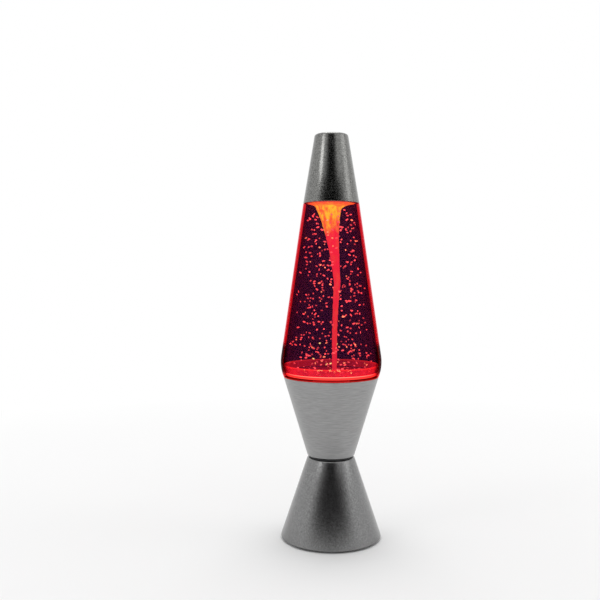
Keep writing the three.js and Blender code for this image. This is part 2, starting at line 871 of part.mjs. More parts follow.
function addImpeller() {
  const vaneTop = impellerDiscTop + vaneHeight;
  const disk = disc(impellerDiscRadius, impellerBottom, impellerDiscTop, middleSides);
  const hub = disc(impellerHubRadius, impellerBottom, impellerDiscTop + impellerHubRise, smallSides);
  const vanes = Array.from({ length: vaneCount }, (unused, index) => block(
    vaneInner, impellerDiscRadius - vaneInset, -vaneThickness / 2, vaneThickness / 2,
    impellerDiscTop - vaneSunk, vaneTop,
  ).rotateZ(fullTurn * (index + 1 / 2) / vaneCount));
  const bore = disc(pinRadius + clearance, impellerBottom - clearance, vaneTop + clearance, smallSides);
  const pockets = drivePlaces().map(([x, y]) => disc(
    impellerMagnetRadius + clearance, impellerBottom - clearance, impellerMagnetTop() + clearance,
    smallSides,
  ).translate(x, y, 0));
  const whole = joinAll([disk, hub, ...vanes]);
  addPiece('impeller', cutAll(whole, [bore, ...pockets]), whitePlastic);
}

function addImpellerMagnets() {
  drivePlaces().forEach(([x, y], index) => {
    addPiece(`impeller_magnet_${index + 1}`, disc(
      impellerMagnetRadius, impellerBottom + clearance, impellerMagnetTop(), smallSides,
    ).translate(x, y, 0), magnetNickel);
  });
}

// Funnel: its radius at a depth below the liquid's edge, and its sideways lean at a share of its depth
function funnelRadiusAt(depth, edgeRadius) {
  const lipSpread = edgeRadius - funnelFootRadius - funnelBellRadius;
  return funnelFootRadius + funnelBellRadius * Math.exp(-depth / funnelBellDepth)
    + lipSpread * Math.exp(-depth / funnelLipDepth);
}

function funnelLeanAt(depthShare) {
  const next = Math.max(1, funnelLeanShares.findIndex(([share]) => share >= depthShare));
  const [fromDepth, fromLean] = funnelLeanShares[next - 1];
  const [toDepth, toLean] = funnelLeanShares[next];
  const along = (depthShare - fromDepth) / (toDepth - fromDepth);
  return funnelLean * THREE.MathUtils.lerp(fromLean, toLean, along);
}

// Liquid: rings up the bottle's wall and then down the funnel, closed over at the floor and the foot
function liquidRings() {
  const gap = bottleWall + clearance;
  const bottom = floorTop + clearance;
  const wellRadius = wellInner - clearance;
  const edgeRadius = bottleSideAt(liquidTop, gap);
  const rings = [
    [wellRadius, bottom - liquidWellDrop, 0],
    [wellRadius, bottom, 0],
    ...bulgePoints(bottom, gap).map(([radius, height]) => [radius, height, 0]),
    [edgeRadius, liquidTop, 0],
  ];
  for (let index = 1; index <= funnelRings; index += 1) {
    const depthShare = (index / funnelRings) ** funnelRingPower;
    const depth = (liquidTop - funnelFoot) * depthShare;
    rings.push([funnelRadiusAt(depth, edgeRadius), liquidTop - depth, funnelLeanAt(depthShare)]);
  }
  return rings;
}

function addLiquid() {
  const rings = liquidRings();
  const positions = [];
  const faces = [];
  rings.forEach(([radius, height, lean]) => {
    for (let side = 0; side < liquidSides; side += 1) {
      const turn = fullTurn * side / liquidSides;
      positions.push(radius * Math.cos(turn) + lean, radius * Math.sin(turn), height);
    }
  });
  const underCentre = positions.length / 3;
  positions.push(0, 0, rings[0][1]);
  const footCentre = underCentre + 1;
  positions.push(funnelLeanAt(1), 0, funnelFoot);
  const lastRing = (rings.length - 1) * liquidSides;
  for (let side = 0; side < liquidSides; side += 1) {
    const next = (side + 1) % liquidSides;
    faces.push(underCentre, next, side);
    faces.push(footCentre, lastRing + side, lastRing + next);
    for (let level = 0; level < rings.length - 1; level += 1) {
      const here = level * liquidSides;
      const above = here + liquidSides;
      faces.push(here + side, here + next, above + next);
      faces.push(here + side, above + next, above + side);
    }
  }
  const geometry = new THREE.BufferGeometry();
  geometry.setAttribute('position', new THREE.Float32BufferAttribute(positions, 3));
  geometry.setIndex(faces);
  addPiece('liquid', geometry, liquidPlum);
}

// Stopper and seal in the neck
function addStopper() {
  addPiece('stopper', turned([
    [0, neckTop - stopperLength],
    [neckBore - stopperShaftGap, neckTop - stopperLength],
    [neckBore - stopperShaftGap, stopperFlangeBottom],
    [stopperFlangeRadius, stopperFlangeBottom],
    [stopperFlangeRadius, stopperFlangeBottom + stopperFlangeThickness, stopperFlangeRound],
    [0, stopperFlangeBottom + stopperFlangeThickness],
  ], middleSides), whitePlastic);
}

function addStopperSeal() {
  addPiece('stopper_seal', ring(neckBore, stopperFlangeRadius, neckTop + clearance,
    neckTop + clearance + sealThickness, middleSides), blackRubber);
}

// Cap: a hollow cone closed above, and the collar that grips the neck inside it
function addCap() {
  addPiece('cap', turned([
    [0, lampHeight - capSheet],
    [capAt(lampHeight) - capSheet, lampHeight - capSheet],
    [capEdgeRadius - capSheet, capEdgeHeight, capEdgeRound],
    [capEdgeRadius, capEdgeHeight, capEdgeRound],
    [capTopRadius, lampHeight, capTopRound],
    [0, lampHeight],
  ], shellSides), aluminium);
}

function addCapCollar() {
  const collarTop = collarBottom + collarHeight;
  const inset = capSheet + clearance;
  addPiece('cap_collar', turnedRing([
    [neckRadius + clearance, collarBottom],
    [capAt(collarBottom) - inset, collarBottom],
    [capAt(collarTop) - inset, collarTop],
    [neckRadius + clearance, collarTop],
  ], middleSides), blackPlastic);
}

// Base plate with a stiffening rib, board posts, screw holes and pockets for the feet
function footPlaces() {
  return placesRound(footCount, footRingRadius, fullTurn / (2 * footCount));
}

function postPlaces() {
  const across = controlBoardHalfWidth - postInset;
  const front = postInset - controlBoardAhead;
  const rear = controlBoardRear - postInset;
  return [
    [-across, front],
    [across, rear],
    [across, front],
    [-across, rear],
  ];
}

function boardScrewPlaces() {
  return postPlaces().slice(0, 2);
}

function addBasePlate() {
  const plate = turned([
    [0, plateBottom],
    [plateRadius, plateBottom, plateEdgeRound],
    [plateRadius, plateTop],
    [0, plateTop],
  ], shellSides);
  const rib = ring(plateRibRadius - plateRibThickness, plateRibRadius, plateTop - plateRibThickness,
    plateTop + plateRibHeight, middleSides);
  const posts = postPlaces().map(([x, y]) => disc(
    postRadius, plateTop - plateRibThickness, postTop, smallSides,
  ).translate(x, y, 0));
  const pockets = footPlaces().map(([x, y]) => disc(
    footRadius + clearance, 0, plateBottom + footSunk, middleSides,
  ).translate(x, y, 0));
  const counterbores = baseScrewPlaces().map(([x, y]) => disc(
    baseScrewHeadRadius + clearance, 0, plateBottom + baseScrewHeadHeight + clearance, smallSides,
  ).translate(x, y, 0));
  const shankHoles = baseScrewPlaces().map(([x, y]) => disc(
    baseScrewRadius + clearance, 0, tabBottom, smallSides,
  ).translate(x, y, 0));
  const boardHoles = boardScrewPlaces()
    .map(([x, y]) => smallScrewHole(x, y, controlBoardBottom - boardScrewLength, controlBoardTop));
  const whole = joinAll([plate, rib, ...posts]);
  addPiece('base_plate', cutAll(whole, [...pockets, ...counterbores, ...shankHoles, ...boardHoles]),
    blackPlastic);
}

function addBaseScrews() {
  baseScrewPlaces().forEach(([x, y], index) => {
    const geometry = screwGeometry(baseScrewRadius, baseScrewHeadRadius, baseScrewHeadHeight, baseScrewLength)
      .rotateX(Math.PI)
      .translate(x, y, plateBottom + baseScrewHeadHeight);
    addPiece(`base_screw_${index + 1}`, geometry, steel);
  });
}

function addFeet() {
  footPlaces().forEach(([x, y], index) => {
    const foot = turned([
      [0, 0],
      [footRadius, 0, footRound],
      [footRadius, plateBottom + footSunk - clearance],
      [0, plateBottom + footSunk - clearance],
    ], middleSides);
    addPiece(`foot_${index + 1}`, foot.translate(x, y, 0), blackRubber);
  });
}

// Control board, chip, lead plug and screws
function addControlBoard() {
  const board = block(-controlBoardHalfWidth, controlBoardHalfWidth, -controlBoardAhead, controlBoardRear,
    controlBoardBottom, controlBoardTop);
  const holes = boardScrewPlaces()
    .map(([x, y]) => smallScrewHole(x, y, controlBoardBottom - clearance, controlBoardTop + clearance));
  addPiece('control_board', cutAll(board, holes), boardGreen);
}

function addBoardParts() {
  const bottom = controlBoardTop + clearance;
  addPiece('control_chip', block(chipAcross - chipSide / 2, chipAcross + chipSide / 2,
    chipDeep - chipSide / 2, chipDeep + chipSide / 2, bottom, bottom + chipHeight), blackPlastic);
  addPiece('lead_plug', block(-plugWidth / 2, plugWidth / 2, -plugDepth / 2, plugDepth / 2,
    bottom, bottom + plugHeight), whitePlastic);
  boardScrewPlaces().forEach(([x, y], index) => {
    addPiece(`control_board_screw_${index + 1}`, smallScrew(boardScrewLength - clearance, x, y, bottom), steel);
  });
}

// Internal leads: a round section drawn along a smooth path
function leadAlong(stops) {
  const path = new THREE.CatmullRomCurve3(
    stops.map(([x, z]) => new THREE.Vector3(x, 0, z)), false, 'catmullrom', leadTightShare,
  );
  const section = new THREE.Shape(placesRound(leadSides, leadRadius, 0)
    .map(([x, y]) => new THREE.Vector2(x, y)));
  return new THREE.ExtrudeGeometry(section, { steps: leadSteps, bevelEnabled: false, extrudePath: path });
}

function addLeads() {
  const plugTop = controlBoardTop + 2 * clearance + plugHeight;
  const overTube = tubeTop + leadTurnGap / 2;
  const motorEnd = motorCapBottom - clearance;
  const lightEnd = lightBoardBottom - clearance;
  const lightLeadAcross = lightLeadPlace();
  addPiece('motor_lead', leadAlong([
    [-leadAcross, plugTop],
    [-leadAcross, upperNutBottom],
    [-leadAcross, overTube],
    [-motorLeadAcross, overTube + leadTurnGap],
    [-motorLeadAcross, motorEnd],
  ]), leadGrey);
  addPiece('light_lead', leadAlong([
    [leadAcross, plugTop],
    [leadAcross, upperNutBottom],
    [leadAcross, overTube],
    [lightLeadAcross, overTube + leadTurnGap],
    [lightLeadAcross, motorTop],
    [lightLeadAcross, lightEnd],
  ]), leadGrey);
}

// Rear insert: a plug in the cone's cut-out with a flange inside and a recessed plate
function coneSlice(inset) {
  const low = insertBottom - 2 * insertFlange;
  const high = insertTop + 2 * insertFlange;
  return turned([
    [0, low],
    [lowerConeAt(low) - inset, low],
    [lowerConeAt(high) - inset, high],
    [0, high],
  ], shellSides);
}

function addRearInsert() {
  const plug = solid(coneSlice(0)).intersect(solid(block(-insertHalfWidth, insertHalfWidth,
    insertBack, baseRadius, insertBottom, insertTop)));
  const flangeHalf = insertHalfWidth + insertFlange;
  const flange = solid(coneSlice(sheet + clearance)).intersect(solid(block(-flangeHalf, flangeHalf,
    insertBack, baseRadius, insertBottom - insertFlange, insertTop + insertFlange)));
  const inside = insertHalfWidth - insertWall;
  const pocketBottom = insertBottom + insertWall;
  const pocketTop = insertTop - insertWall;
  const cutters = [
    block(-inside, inside, insertPlateFront, baseRadius, pocketBottom, pocketTop),
    block(-inside, inside, 0, insertPlateBack, pocketBottom, pocketTop),
    block(inletAcross - inletWidth / 2 - clearance, inletAcross + inletWidth / 2 + clearance, 0, baseRadius,
      inletBottom - clearance, inletBottom + inletHeight + clearance),
    alongRear(disc(buttonRadius + clearance, insertBack, baseRadius, middleSides)),
  ];
  addPiece('rear_insert', cutAll(plug.add(flange), cutters), blackPlastic);
}

// Turns a shape made along +Z to point along +Y on the button's axis
function alongRear(geometry) {
  return geometry.rotateX(-Math.PI / 2).translate(buttonAcross, 0, buttonHeight);
}

// Power inlet: a folded shell with a tongue inside
function inletOutline(inset) {
  const half = inletWidth / 2 - inset;
  const low = inletBottom + inset;
  const high = inletBottom + inletHeight - inset;
  return new THREE.Shape([
    new THREE.Vector2(-half + inletChamfer, -low),
    new THREE.Vector2(-half, -low - inletChamfer),
    new THREE.Vector2(-half, -high),
    new THREE.Vector2(half, -high),
    new THREE.Vector2(half, -low - inletChamfer),
    new THREE.Vector2(half - inletChamfer, -low),
  ]);
}

function alongInlet(outline, back, front) {
  return new THREE.ExtrudeGeometry(outline, { depth: front - back, bevelEnabled: false })
    .translate(0, 0, back)
    .rotateX(-Math.PI / 2)
    .translate(inletAcross, 0, 0);
}

function addInlet() {
  const back = inletFront - inletLength;
  addPiece('usb_shell', solid(alongInlet(inletOutline(0), back, inletFront))
    .subtract(solid(alongInlet(inletOutline(inletSheet), back + inletSheet, inletFront + clearance))), steel);
  const middle = inletBottom + inletHeight / 2;
  addPiece('usb_tongue', block(inletAcross - tongueWidth / 2, inletAcross + tongueWidth / 2,
    back + inletSheet + clearance, inletFront - tongueInset,
    middle - tongueThickness / 2, middle + tongueThickness / 2), blackPlastic);
}

// Push button behind the insert's plate and the switch it presses
function addPowerButton() {
  addPiece('power_button', alongRear(turned([
    [0, buttonStemBack],
    [buttonStemRadius, buttonStemBack],
    [buttonStemRadius, buttonFlangeBack],
    [buttonFlangeRadius, buttonFlangeBack],
    [buttonFlangeRadius, buttonFlangeFront],
    [buttonRadius, buttonFlangeFront],
    [buttonRadius, insertPlateFront + buttonProud, buttonEdgeRound],
    [0, insertPlateFront + buttonProud],
  ], middleSides)), whitePlastic);
}

function addButtonSwitch() {
  const front = buttonStemBack - switchTravelRoom;
  const bottom = controlBoardTop + clearance;
  addPiece('button_switch', block(buttonAcross - switchSide / 2, buttonAcross + switchSide / 2,
    front - switchDepth, front, bottom, bottom + switchSide), blackPlastic);
}

addLowerCone();
addWaistRing();
addUpperCup();
addWaistTube();
addNut('lower_nut', lowerNutBottom);
addNut('upper_nut', upperNutBottom);
addMotorCarrier();
addMotor();
addMotorEndCap();
addMotorScrews();
addMotorShaft();
addMagnetHolder();
addDriveMagnets();
addLightBoard();
addLights();
addLightBoardScrews();
addLightWindow();
addSeatRing();
addBottle();
addBottleFloor();
addImpellerPin();
addImpeller();
addImpellerMagnets();
addLiquid();
addStopper();
addStopperSeal();
addCap();
addCapCollar();
addBasePlate();
addBaseScrews();
addFeet();
addControlBoard();
addBoardParts();
addLeads();
addRearInsert();
addInlet();
addPowerButton();
addButtonSwitch();

export default lamp;
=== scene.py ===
"""Tornado lamp: a clear bottle of lit, whirling liquid on a two-cone metal base, under a metal cap.

The file is laid out as an add-on and run as a script. Sizes are in metres, +Z up, the front faces -Y.
"""

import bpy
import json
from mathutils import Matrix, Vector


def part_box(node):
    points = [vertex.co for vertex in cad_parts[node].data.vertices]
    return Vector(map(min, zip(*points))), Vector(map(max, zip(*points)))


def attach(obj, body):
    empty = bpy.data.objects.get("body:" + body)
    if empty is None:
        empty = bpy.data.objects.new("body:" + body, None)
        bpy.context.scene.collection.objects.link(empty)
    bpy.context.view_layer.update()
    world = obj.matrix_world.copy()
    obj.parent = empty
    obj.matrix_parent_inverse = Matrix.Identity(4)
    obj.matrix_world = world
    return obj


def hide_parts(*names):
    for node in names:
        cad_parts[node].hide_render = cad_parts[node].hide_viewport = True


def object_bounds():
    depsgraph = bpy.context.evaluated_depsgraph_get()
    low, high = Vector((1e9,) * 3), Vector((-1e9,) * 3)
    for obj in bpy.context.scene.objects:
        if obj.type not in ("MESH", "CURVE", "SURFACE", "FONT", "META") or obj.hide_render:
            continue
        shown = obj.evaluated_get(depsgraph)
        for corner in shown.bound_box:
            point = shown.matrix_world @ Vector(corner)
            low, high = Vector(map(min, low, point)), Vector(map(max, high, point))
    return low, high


bl_info = {
    "name": "Tornado Lamp",
    "version": (1, 0, 0),
    "blender": (4, 5, 0),
    "location": "View3D > Sidebar > Tornado Lamp",
    "description": "Models a lamp whose bottle holds a lit funnel of whirling liquid",
    "category": "Add Mesh",
}

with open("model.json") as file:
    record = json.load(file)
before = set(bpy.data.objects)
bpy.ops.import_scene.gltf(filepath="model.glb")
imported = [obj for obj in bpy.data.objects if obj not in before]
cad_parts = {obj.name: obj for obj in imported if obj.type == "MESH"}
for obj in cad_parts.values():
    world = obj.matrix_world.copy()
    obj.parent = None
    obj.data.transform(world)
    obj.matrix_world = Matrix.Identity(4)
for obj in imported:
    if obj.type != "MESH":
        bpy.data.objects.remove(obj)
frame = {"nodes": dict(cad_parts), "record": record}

import json
import math
import random

import bmesh
import bpy
from bpy.props import FloatProperty, FloatVectorProperty, IntProperty, PointerProperty
from mathutils import Color, Euler, Matrix, Vector, noise

CAD_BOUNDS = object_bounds()

# Low and high corners of every piece of the construction model, measured once because each takes a while
BOXES = {row["node"]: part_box(row["node"]) for row in frame["record"]["subparts"]}


def lowest(node):
    return BOXES[node][0]


def highest(node):
    return BOXES[node][1]


# Sizes and colours that a user would change


def length(name, description, default):
    return FloatProperty(name=name, description=description, default=default, unit="LENGTH", precision=5)


def share(name, description, default):
    return FloatProperty(name=name, description=description, default=default, subtype="FACTOR")


def angle(name, description, degrees):
    return FloatProperty(name=name, description=description, default=math.radians(degrees), subtype="ANGLE")


def colour(name, description, default):
    return FloatVectorProperty(
        name=name, description=description, default=[value / 255 for value in default],
        subtype="COLOR_GAMMA", size=3, min=0.0, max=1.0,
    )


class BaseSizes(bpy.types.PropertyGroup):
    """Sizes of the two cones and what is let into them."""

    sheet: length("Sheet", "Thickness of the spun sheet", 0.0012)
    base_radius: length("Base radius", "Radius where the lower cone meets the table edge", 0.045)
    base_lip: length("Base lip", "Width of the lip turned in under the lower cone", 0.0022)
    base_edge_round: length("Base edge round", "Rounding of the lower cone's outer edge", 0.0011)
    waist_radius: length("Waist radius", "Radius at the top of the lower cone", 0.021)
    waist_round: length("Waist round", "Rounding at the top of the lower cone", 0.0014)
    cup_foot_radius: length("Cup foot radius", "Radius at the foot of the upper cup", 0.0209)
    cup_foot_round: length("Cup foot round", "Rounding at the foot of the upper cup", 0.0012)
    rim_radius: length("Rim radius", "Radius of the upper cup's rim", 0.0425)
    rim_round: length("Rim round", "Rounding of the upper cup's rim", 0.00055)
    plate_recess: length("Plate recess", "How far the base plate sits above the cone's edge", 0.0003)
    tube_hole: length("Tube hole", "Radius of the hole that the waist tube passes", 0.0053)
    tab_width: length("Tab width", "Width of the tabs that hold the base plate", 0.009)
    clearance: length("Clearance", "Gap between pieces that touch", 0.0003)
    steps: IntProperty(name="Steps", description="Faces round a turned piece", default=128)


class InsertSizes(bpy.types.PropertyGroup):
    """Sizes of the rear insert with the power inlet and the push button."""

    flange: length("Flange", "Width of the flange inside the cone", 0.0018)
    wall: length("Wall", "Wall round the recess", 0.0018)
    plate_front: length("Plate front", "How far back the recessed plate lies from the axis", 0.03581)
    plate: length("Plate", "Thickness of the recessed plate", 0.002)
    corner: length("Corner", "Rounding of the recess corners", 0.0012)
    inlet_sheet: length("Inlet sheet", "Thickness of the inlet's folded sheet", 0.0004)
    inlet_chamfer: length("Inlet chamfer", "Slanted lower corners of the inlet", 0.0009)
    button_radius: length("Button radius", "Radius of the push button", 0.0034)
    button_dish: length("Button dish", "Depth of the hollow in the button's face", 0.00035)


class BottleSizes(bpy.types.PropertyGroup):
    """Sizes of the bottle, its floor, its cap and what hangs in its neck."""

    wall: length("Wall", "Thickness of the bottle's wall", 0.0024)
    bulge_round: length("Bulge round", "Radius of the bulge's curve seen from the side", 0.038)
    bulge_rise: length("Bulge rise", "Height of the widest place over the rim", 0.0134)
    ledge_rise: length("Ledge rise", "Height of the floor's ledge over the rim", 0.0015)
    seat_rise: length("Seat rise", "Height of the straight seat inside the cap", 0.003)
    cap_sheet: length("Cap sheet", "Thickness of the cap's metal", 0.001)
    cap_top_radius: length("Cap top radius", "Radius at the top of the cap", 0.01475)
    neck_radius: length("Neck radius", "Outer radius of the neck", 0.0125)
    neck_bore: length("Neck bore", "Inner radius of the neck", 0.0095)
    neck_root_rise: length("Neck root rise", "Height of the neck's root over the cap's edge", 0.0098)
    shoulder_drop: length("Shoulder drop", "Drop from the seat's top to the inner shoulder", 0.0008)
    shoulder_round: length("Shoulder round", "Rounding of the outer shoulder", 0.003)
    shoulder_inner_round: length("Inner shoulder round", "Rounding of the inner shoulder", 0.002)
    neck_root_round: length("Neck root round", "Rounding where the neck starts", 0.002)
    floor: length("Floor", "Thickness of the bottle's floor", 0.0022)
    well_inner: length("Well radius", "Radius of the well that the impeller turns in", 0.015)
    well_wall: length("Well wall", "Wall of the well", 0.0016)
    well_round: length("Well round", "Rounding under the well", 0.002)


class FunnelSizes(bpy.types.PropertyGroup):
    """Sizes of the liquid and of the funnel down its middle."""

    foot_gap: length("Foot gap", "Height of the funnel's foot over the bottle's floor", 0.0016)
    foot_radius: length("Foot radius", "Radius of the funnel's stem", 0.0015)
    bell_radius: length("Bell radius", "How much wider the funnel's bell is than its stem", 0.0106)
    bell_depth: length("Bell depth", "Depth over which the bell narrows", 0.029)
    lip_depth: length("Lip depth", "Depth over which the lip leaves the bottle's wall", 0.0014)
    lean: length("Lean", "Greatest sideways lean of the funnel", 0.0054)
    skin: length("Skin", "Thickness of the lit skin round the funnel", 0.0002)
    skin_inset: length("Skin inset", "How far inside the liquid the skin lies", 0.0001)
    ragged: length("Ragged", "How far the skin's waves stand out", 0.0009)
    rings: IntProperty(name="Rings", description="Rings down the funnel", default=150)
    well_drop: length("Well drop", "How far the liquid reaches down into the well", 0.001)
    shine_height: length("Shine height", "Height of the light on the wall over the lit floor", 0.0065)


class GlitterSizes(bpy.types.PropertyGroup):
    """Sizes and counts of the glitter flakes in the liquid."""

    count: IntProperty(name="Count", description="Flakes in the liquid", default=450)
    settled: IntProperty(name="Settled", description="Flakes lying on the floor", default=46)
    length_least: length("Least length", "Length of the shortest flakes", 0.0014)
    length_most: length("Most length", "Length of the longest flakes", 0.0031)
    width: length("Width", "Width of a flake", 0.00128)
    shell: share("Shell", "Share of the way from the funnel to the wall where flakes start", 0.35)
    thickness: length("Thickness", "Thickness of a flake", 0.0006)
    wall_gap: length("Wall gap", "Room between flakes and the bottle", 0.0022)
    stem_gap: length("Stem gap", "Room between flakes and the funnel", 0.0012)
    seed: IntProperty(name="Seed", description="Start of the random order", default=11)


class Finishes(bpy.types.PropertyGroup):
    """Colours of the finishes, as they are seen."""

    cap_metal: colour("Cap metal", "Satin metal of the cap", (122, 122, 120))
    # partly painted light: the cup is lighter than the cones partly for its brushed finish and partly to
    # stand in for how light falls on it
    cup_metal: colour("Cup metal", "Brushed metal of the upper cup", (152, 152, 152))
    cone_metal: colour("Cone metal", "Satin metal of the lower cone", (128, 128, 128))
    steel: colour("Steel", "Bright steel of screws, tube and nuts", (168, 168, 170))
    nickel: colour("Nickel", "Nickel coat of the magnets", (190, 190, 186))
    black_plastic: colour("Black plastic", "Moulded black plastic", (30, 30, 32))
    white_plastic: colour("White plastic", "Moulded white plastic", (214, 211, 204))
    rubber: colour("Rubber", "Soft black rubber", (26, 26, 26))
    board: colour("Board", "Lacquer of the circuit boards", (26, 84, 50))
    lead: colour("Lead", "Sleeve of the inner leads", (54, 54, 58))
    clear: colour("Window", "Frosted window over the lights", (236, 226, 222))
    plum: colour("Plum", "Dark liquid", (38, 18, 58))
    red: colour("Red", "Lit stem of the funnel", (232, 34, 50))
    orange: colour("Orange", "Lit lip of the funnel", (248, 84, 44))
    yellow: colour("Yellow", "Lit mouth of the funnel", (255, 182, 40))
    # painted shade: the dark line at the edge of the liquid's surface against the wall
    lip_shade_line: colour("Lip line", "Dark line where the lip meets the bottle", (120, 22, 24))
    rim_glow: colour("Rim glow", "Light in the bottle's foot over the rim", (236, 44, 40))
    floor_body: colour("Floor body", "Plastic of the lit floor", (160, 20, 26))
    floor_dark: colour("Floor dark", "Darker patches of the lit floor", (204, 26, 38))
    floor_light: colour("Floor light", "Lighter patches of the lit floor", (238, 42, 44))
    floor_rim: colour("Floor rim", "Outer edge of the lit floor", (238, 46, 40))
    shine_dark: colour("Shine dark", "Darker patches of the light on the wall", (178, 20, 30))
    shine_light: colour("Shine light", "Lighter patches of the light on the wall", (206, 26, 34))
    shine_line: colour("Shine line", "Upper edge of the light on the wall", (236, 40, 36))
    spark: colour("Spark", "Common flakes", (228, 66, 70))
    warm_spark: colour("Warm spark", "Orange flakes low down by the funnel", (248, 118, 84))
    pale_spark: colour("Pale spark", "Pale flakes at the funnel's foot", (252, 206, 124))


class Studio(bpy.types.PropertyGroup):
    """Camera, lamps and floor."""

    distance: length("Distance", "From the camera to the lamp's axis", 0.690)
    eye_height: length("Eye height", "Height of the camera", 0.238)
    lens: FloatProperty(name="Lens", description="Focal length in millimetres", default=46.35)
    turn: angle("Turn", "How far the camera turns left", 2.31)
    tilt: angle("Tilt", "How far the camera tilts down", 2.05)
    ambient: share("Ambient", "Even light from all round", 0.75)
    floor_radius: length("Floor radius", "Radius of the pale floor", 12.0)
    floor_fade: length("Floor fade", "Where the floor has turned into the white background", 0.8)
    seen_white: share("White", "Strength of the white background", 1.0)


SETTINGS = {
    "lamp_base": BaseSizes,
    "lamp_insert": InsertSizes,
    "lamp_bottle": BottleSizes,
    "lamp_funnel": FunnelSizes,
    "lamp_glitter": GlitterSizes,
    "lamp_finishes": Finishes,
    "lamp_studio": Studio,
}


def settings(name):
    return getattr(bpy.context.scene, name)


# Turning, cutting and finishing meshes

MERGE_DISTANCE = 1e-6
RING_TOLERANCE = 2e-5
CRISP_ANGLE = math.radians(35.0)


def spin(bm, outline, closed):
    """Turns an outline of [radius, height] points about the lamp's axis."""
    verts = [bm.verts.new((radius, 0.0, height)) for radius, height in outline]
    pairs = list(zip(verts, verts[1:]))
    if closed:
        pairs.append((verts[-1], verts[0]))
    edges = [bm.edges.new(pair) for pair in pairs]
    bmesh.ops.spin(
        bm, geom=verts + edges, cent=(0.0, 0.0, 0.0), axis=(0.0, 0.0, 1.0),
        angle=2 * math.pi, steps=settings("lamp_base").steps, use_merge=True,
    )
    bmesh.ops.remove_doubles(bm, verts=bm.verts, dist=MERGE_DISTANCE)
    bmesh.ops.recalc_face_normals(bm, faces=bm.faces)


def round_edges(bm, edges, rounding, segments):
    """Rounds edges, or slants them where there is one segment."""
    bmesh.ops.bevel(
        bm, geom=edges, offset=rounding, offset_type="OFFSET", segments=segments,
        profile=0.5, affect="EDGES", material=-1, clamp_overlap=True,
    )


def on_ring(co, radius, height):
    return abs(math.hypot(co.x, co.y) - radius) < RING_TOLERANCE and abs(co.z - height) < RING_TOLERANCE


def turned(outline, rings=(), closed=False, segments=4):
    """Turns an outline and rounds its rings of edges at each [radius, height, rounding]."""
    bm = bmesh.new()
    spin(bm, outline, closed)
    for radius, height, rounding in rings:
        edges = [
            edge for edge in bm.edges
            if all(on_ring(vert.co, radius, height) for vert in edge.verts)
        ]
        if not edges:
            raise RuntimeError(f"no ring at radius {radius} and height {height}")
        round_edges(bm, edges, rounding, segments)
    return bm


def ring_outline(inner, outer, low, high):
    """The outline of a plain ring, or of a disc where the inner radius is nothing."""
    return [(inner, low), (outer, low), (outer, high), (inner, high)]


def block(bm, low, high):
    """Adds a block between two corners and returns its vertices."""
    low, high = Vector(low), Vector(high)
    size = Matrix.Diagonal((*(high - low), 1.0))
    stand = Matrix.Translation((low + high) / 2) @ size
    return bmesh.ops.create_cube(bm, size=1.0, matrix=stand)["verts"]


def block_alone(low, high):
    bm = bmesh.new()
    block(bm, low, high)
    return bm


def as_object(name, bm):
    mesh = bpy.data.meshes.new(name)
    bm.to_mesh(mesh)
    bm.free()
    made = bpy.data.objects.new(name, mesh)
    bpy.context.scene.collection.objects.link(made)
    return made


def combine(bm, other, operation):
    """Cuts, joins or crosses one mesh with another and returns the result."""
    kept = as_object("kept", bm)
    tool = as_object("tool", other)
    modifier = kept.modifiers.new("combine", "BOOLEAN")
    modifier.operation = operation
    modifier.solver = "EXACT"
    modifier.object = tool
    bpy.context.view_layer.update()
    shown = kept.evaluated_get(bpy.context.evaluated_depsgraph_get())
    result = bpy.data.meshes.new_from_object(shown)
    out = bmesh.new()
    out.from_mesh(result)
    for used in (kept, tool):
        mesh = used.data
        bpy.data.objects.remove(used)
        bpy.data.meshes.remove(mesh)
    bpy.data.meshes.remove(result)
    bmesh.ops.remove_doubles(out, verts=out.verts, dist=MERGE_DISTANCE)
    return out


def cut_block(bm, low, high):
    return combine(bm, block_alone(low, high), "DIFFERENCE")


def piece(name, bm, body, slot, replaced=(), finish=None):
    """Finishes a mesh as a smooth piece of the lamp, with crisp sharp edges, that moves with a body."""
    for face in bm.faces:
        face.smooth = True
    for edge in bm.edges:
        edge.smooth = not (edge.is_manifold and edge.calc_face_angle(0.0) > CRISP_ANGLE)
    made = as_object(name, bm)
    made.data.materials.append(finish or solid_finish(SLOT_FINISHES[slot]))
    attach(made, body)
    if replaced:
        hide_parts(*replaced)
    return made


# Finishes

WHITE = (1.0, 1.0, 1.0, 1.0)
EVEN = (1.0, 1.0, 1.0)

# Each solid finish: roughness, share of metal, grain scale, grain stretch, contrast, relief, roughness spread
SOLID_FINISHES = {
    "cap metal": (0.2, 1.0, 1000.0, EVEN, 0.5, 0.00002, 0.06),
    # partly painted light: the cup metal's lighter colour is partly its brushed finish and partly light on
    # the cup painted in
    "cup metal": (0.34, 1.0, 240.0, (0.5, 0.5, 7.0), 0.14, 0.00002, 0.05),
    "cone metal": (0.25, 1.0, 900.0, EVEN, 0.24, 0.000003, 0.02),
    "steel": (0.3, 1.0, 700.0, (1.0, 1.0, 3.0), 0.06, 0.00001, 0.06),
    "nickel": (0.2, 1.0, 500.0, EVEN, 0.04, 0.00001, 0.04),
    "black plastic": (0.5, 0.0, 2200.0, EVEN, 0.12, 0.00003, 0.06),
    "white plastic": (0.42, 0.0, 1500.0, EVEN, 0.03, 0.00001, 0.05),
    "rubber": (0.82, 0.0, 1800.0, EVEN, 0.15, 0.00004, 0.08),
    "board": (0.35, 0.0, 420.0, EVEN, 0.12, 0.00001, 0.08),
    "lead": (0.5, 0.0, 1200.0, EVEN, 0.06, 0.00001, 0.05),
}

# The slots whose pieces all have one solid finish
SLOT_FINISHES = {
    "steel": "steel",
    "magnet": "nickel",
    "black_plastic": "black plastic",
    "white_plastic": "white plastic",
    "soft_rubber": "rubber",
    "board": "board",
    "lead": "lead",
}


def linear(wanted):
    """A colour as it is seen, turned into the colour that light adds up in."""
    return Color(wanted).from_srgb_to_scene_linear()


def with_alpha(values, level=1.0):
    return (*(value * level for value in values), 1.0)


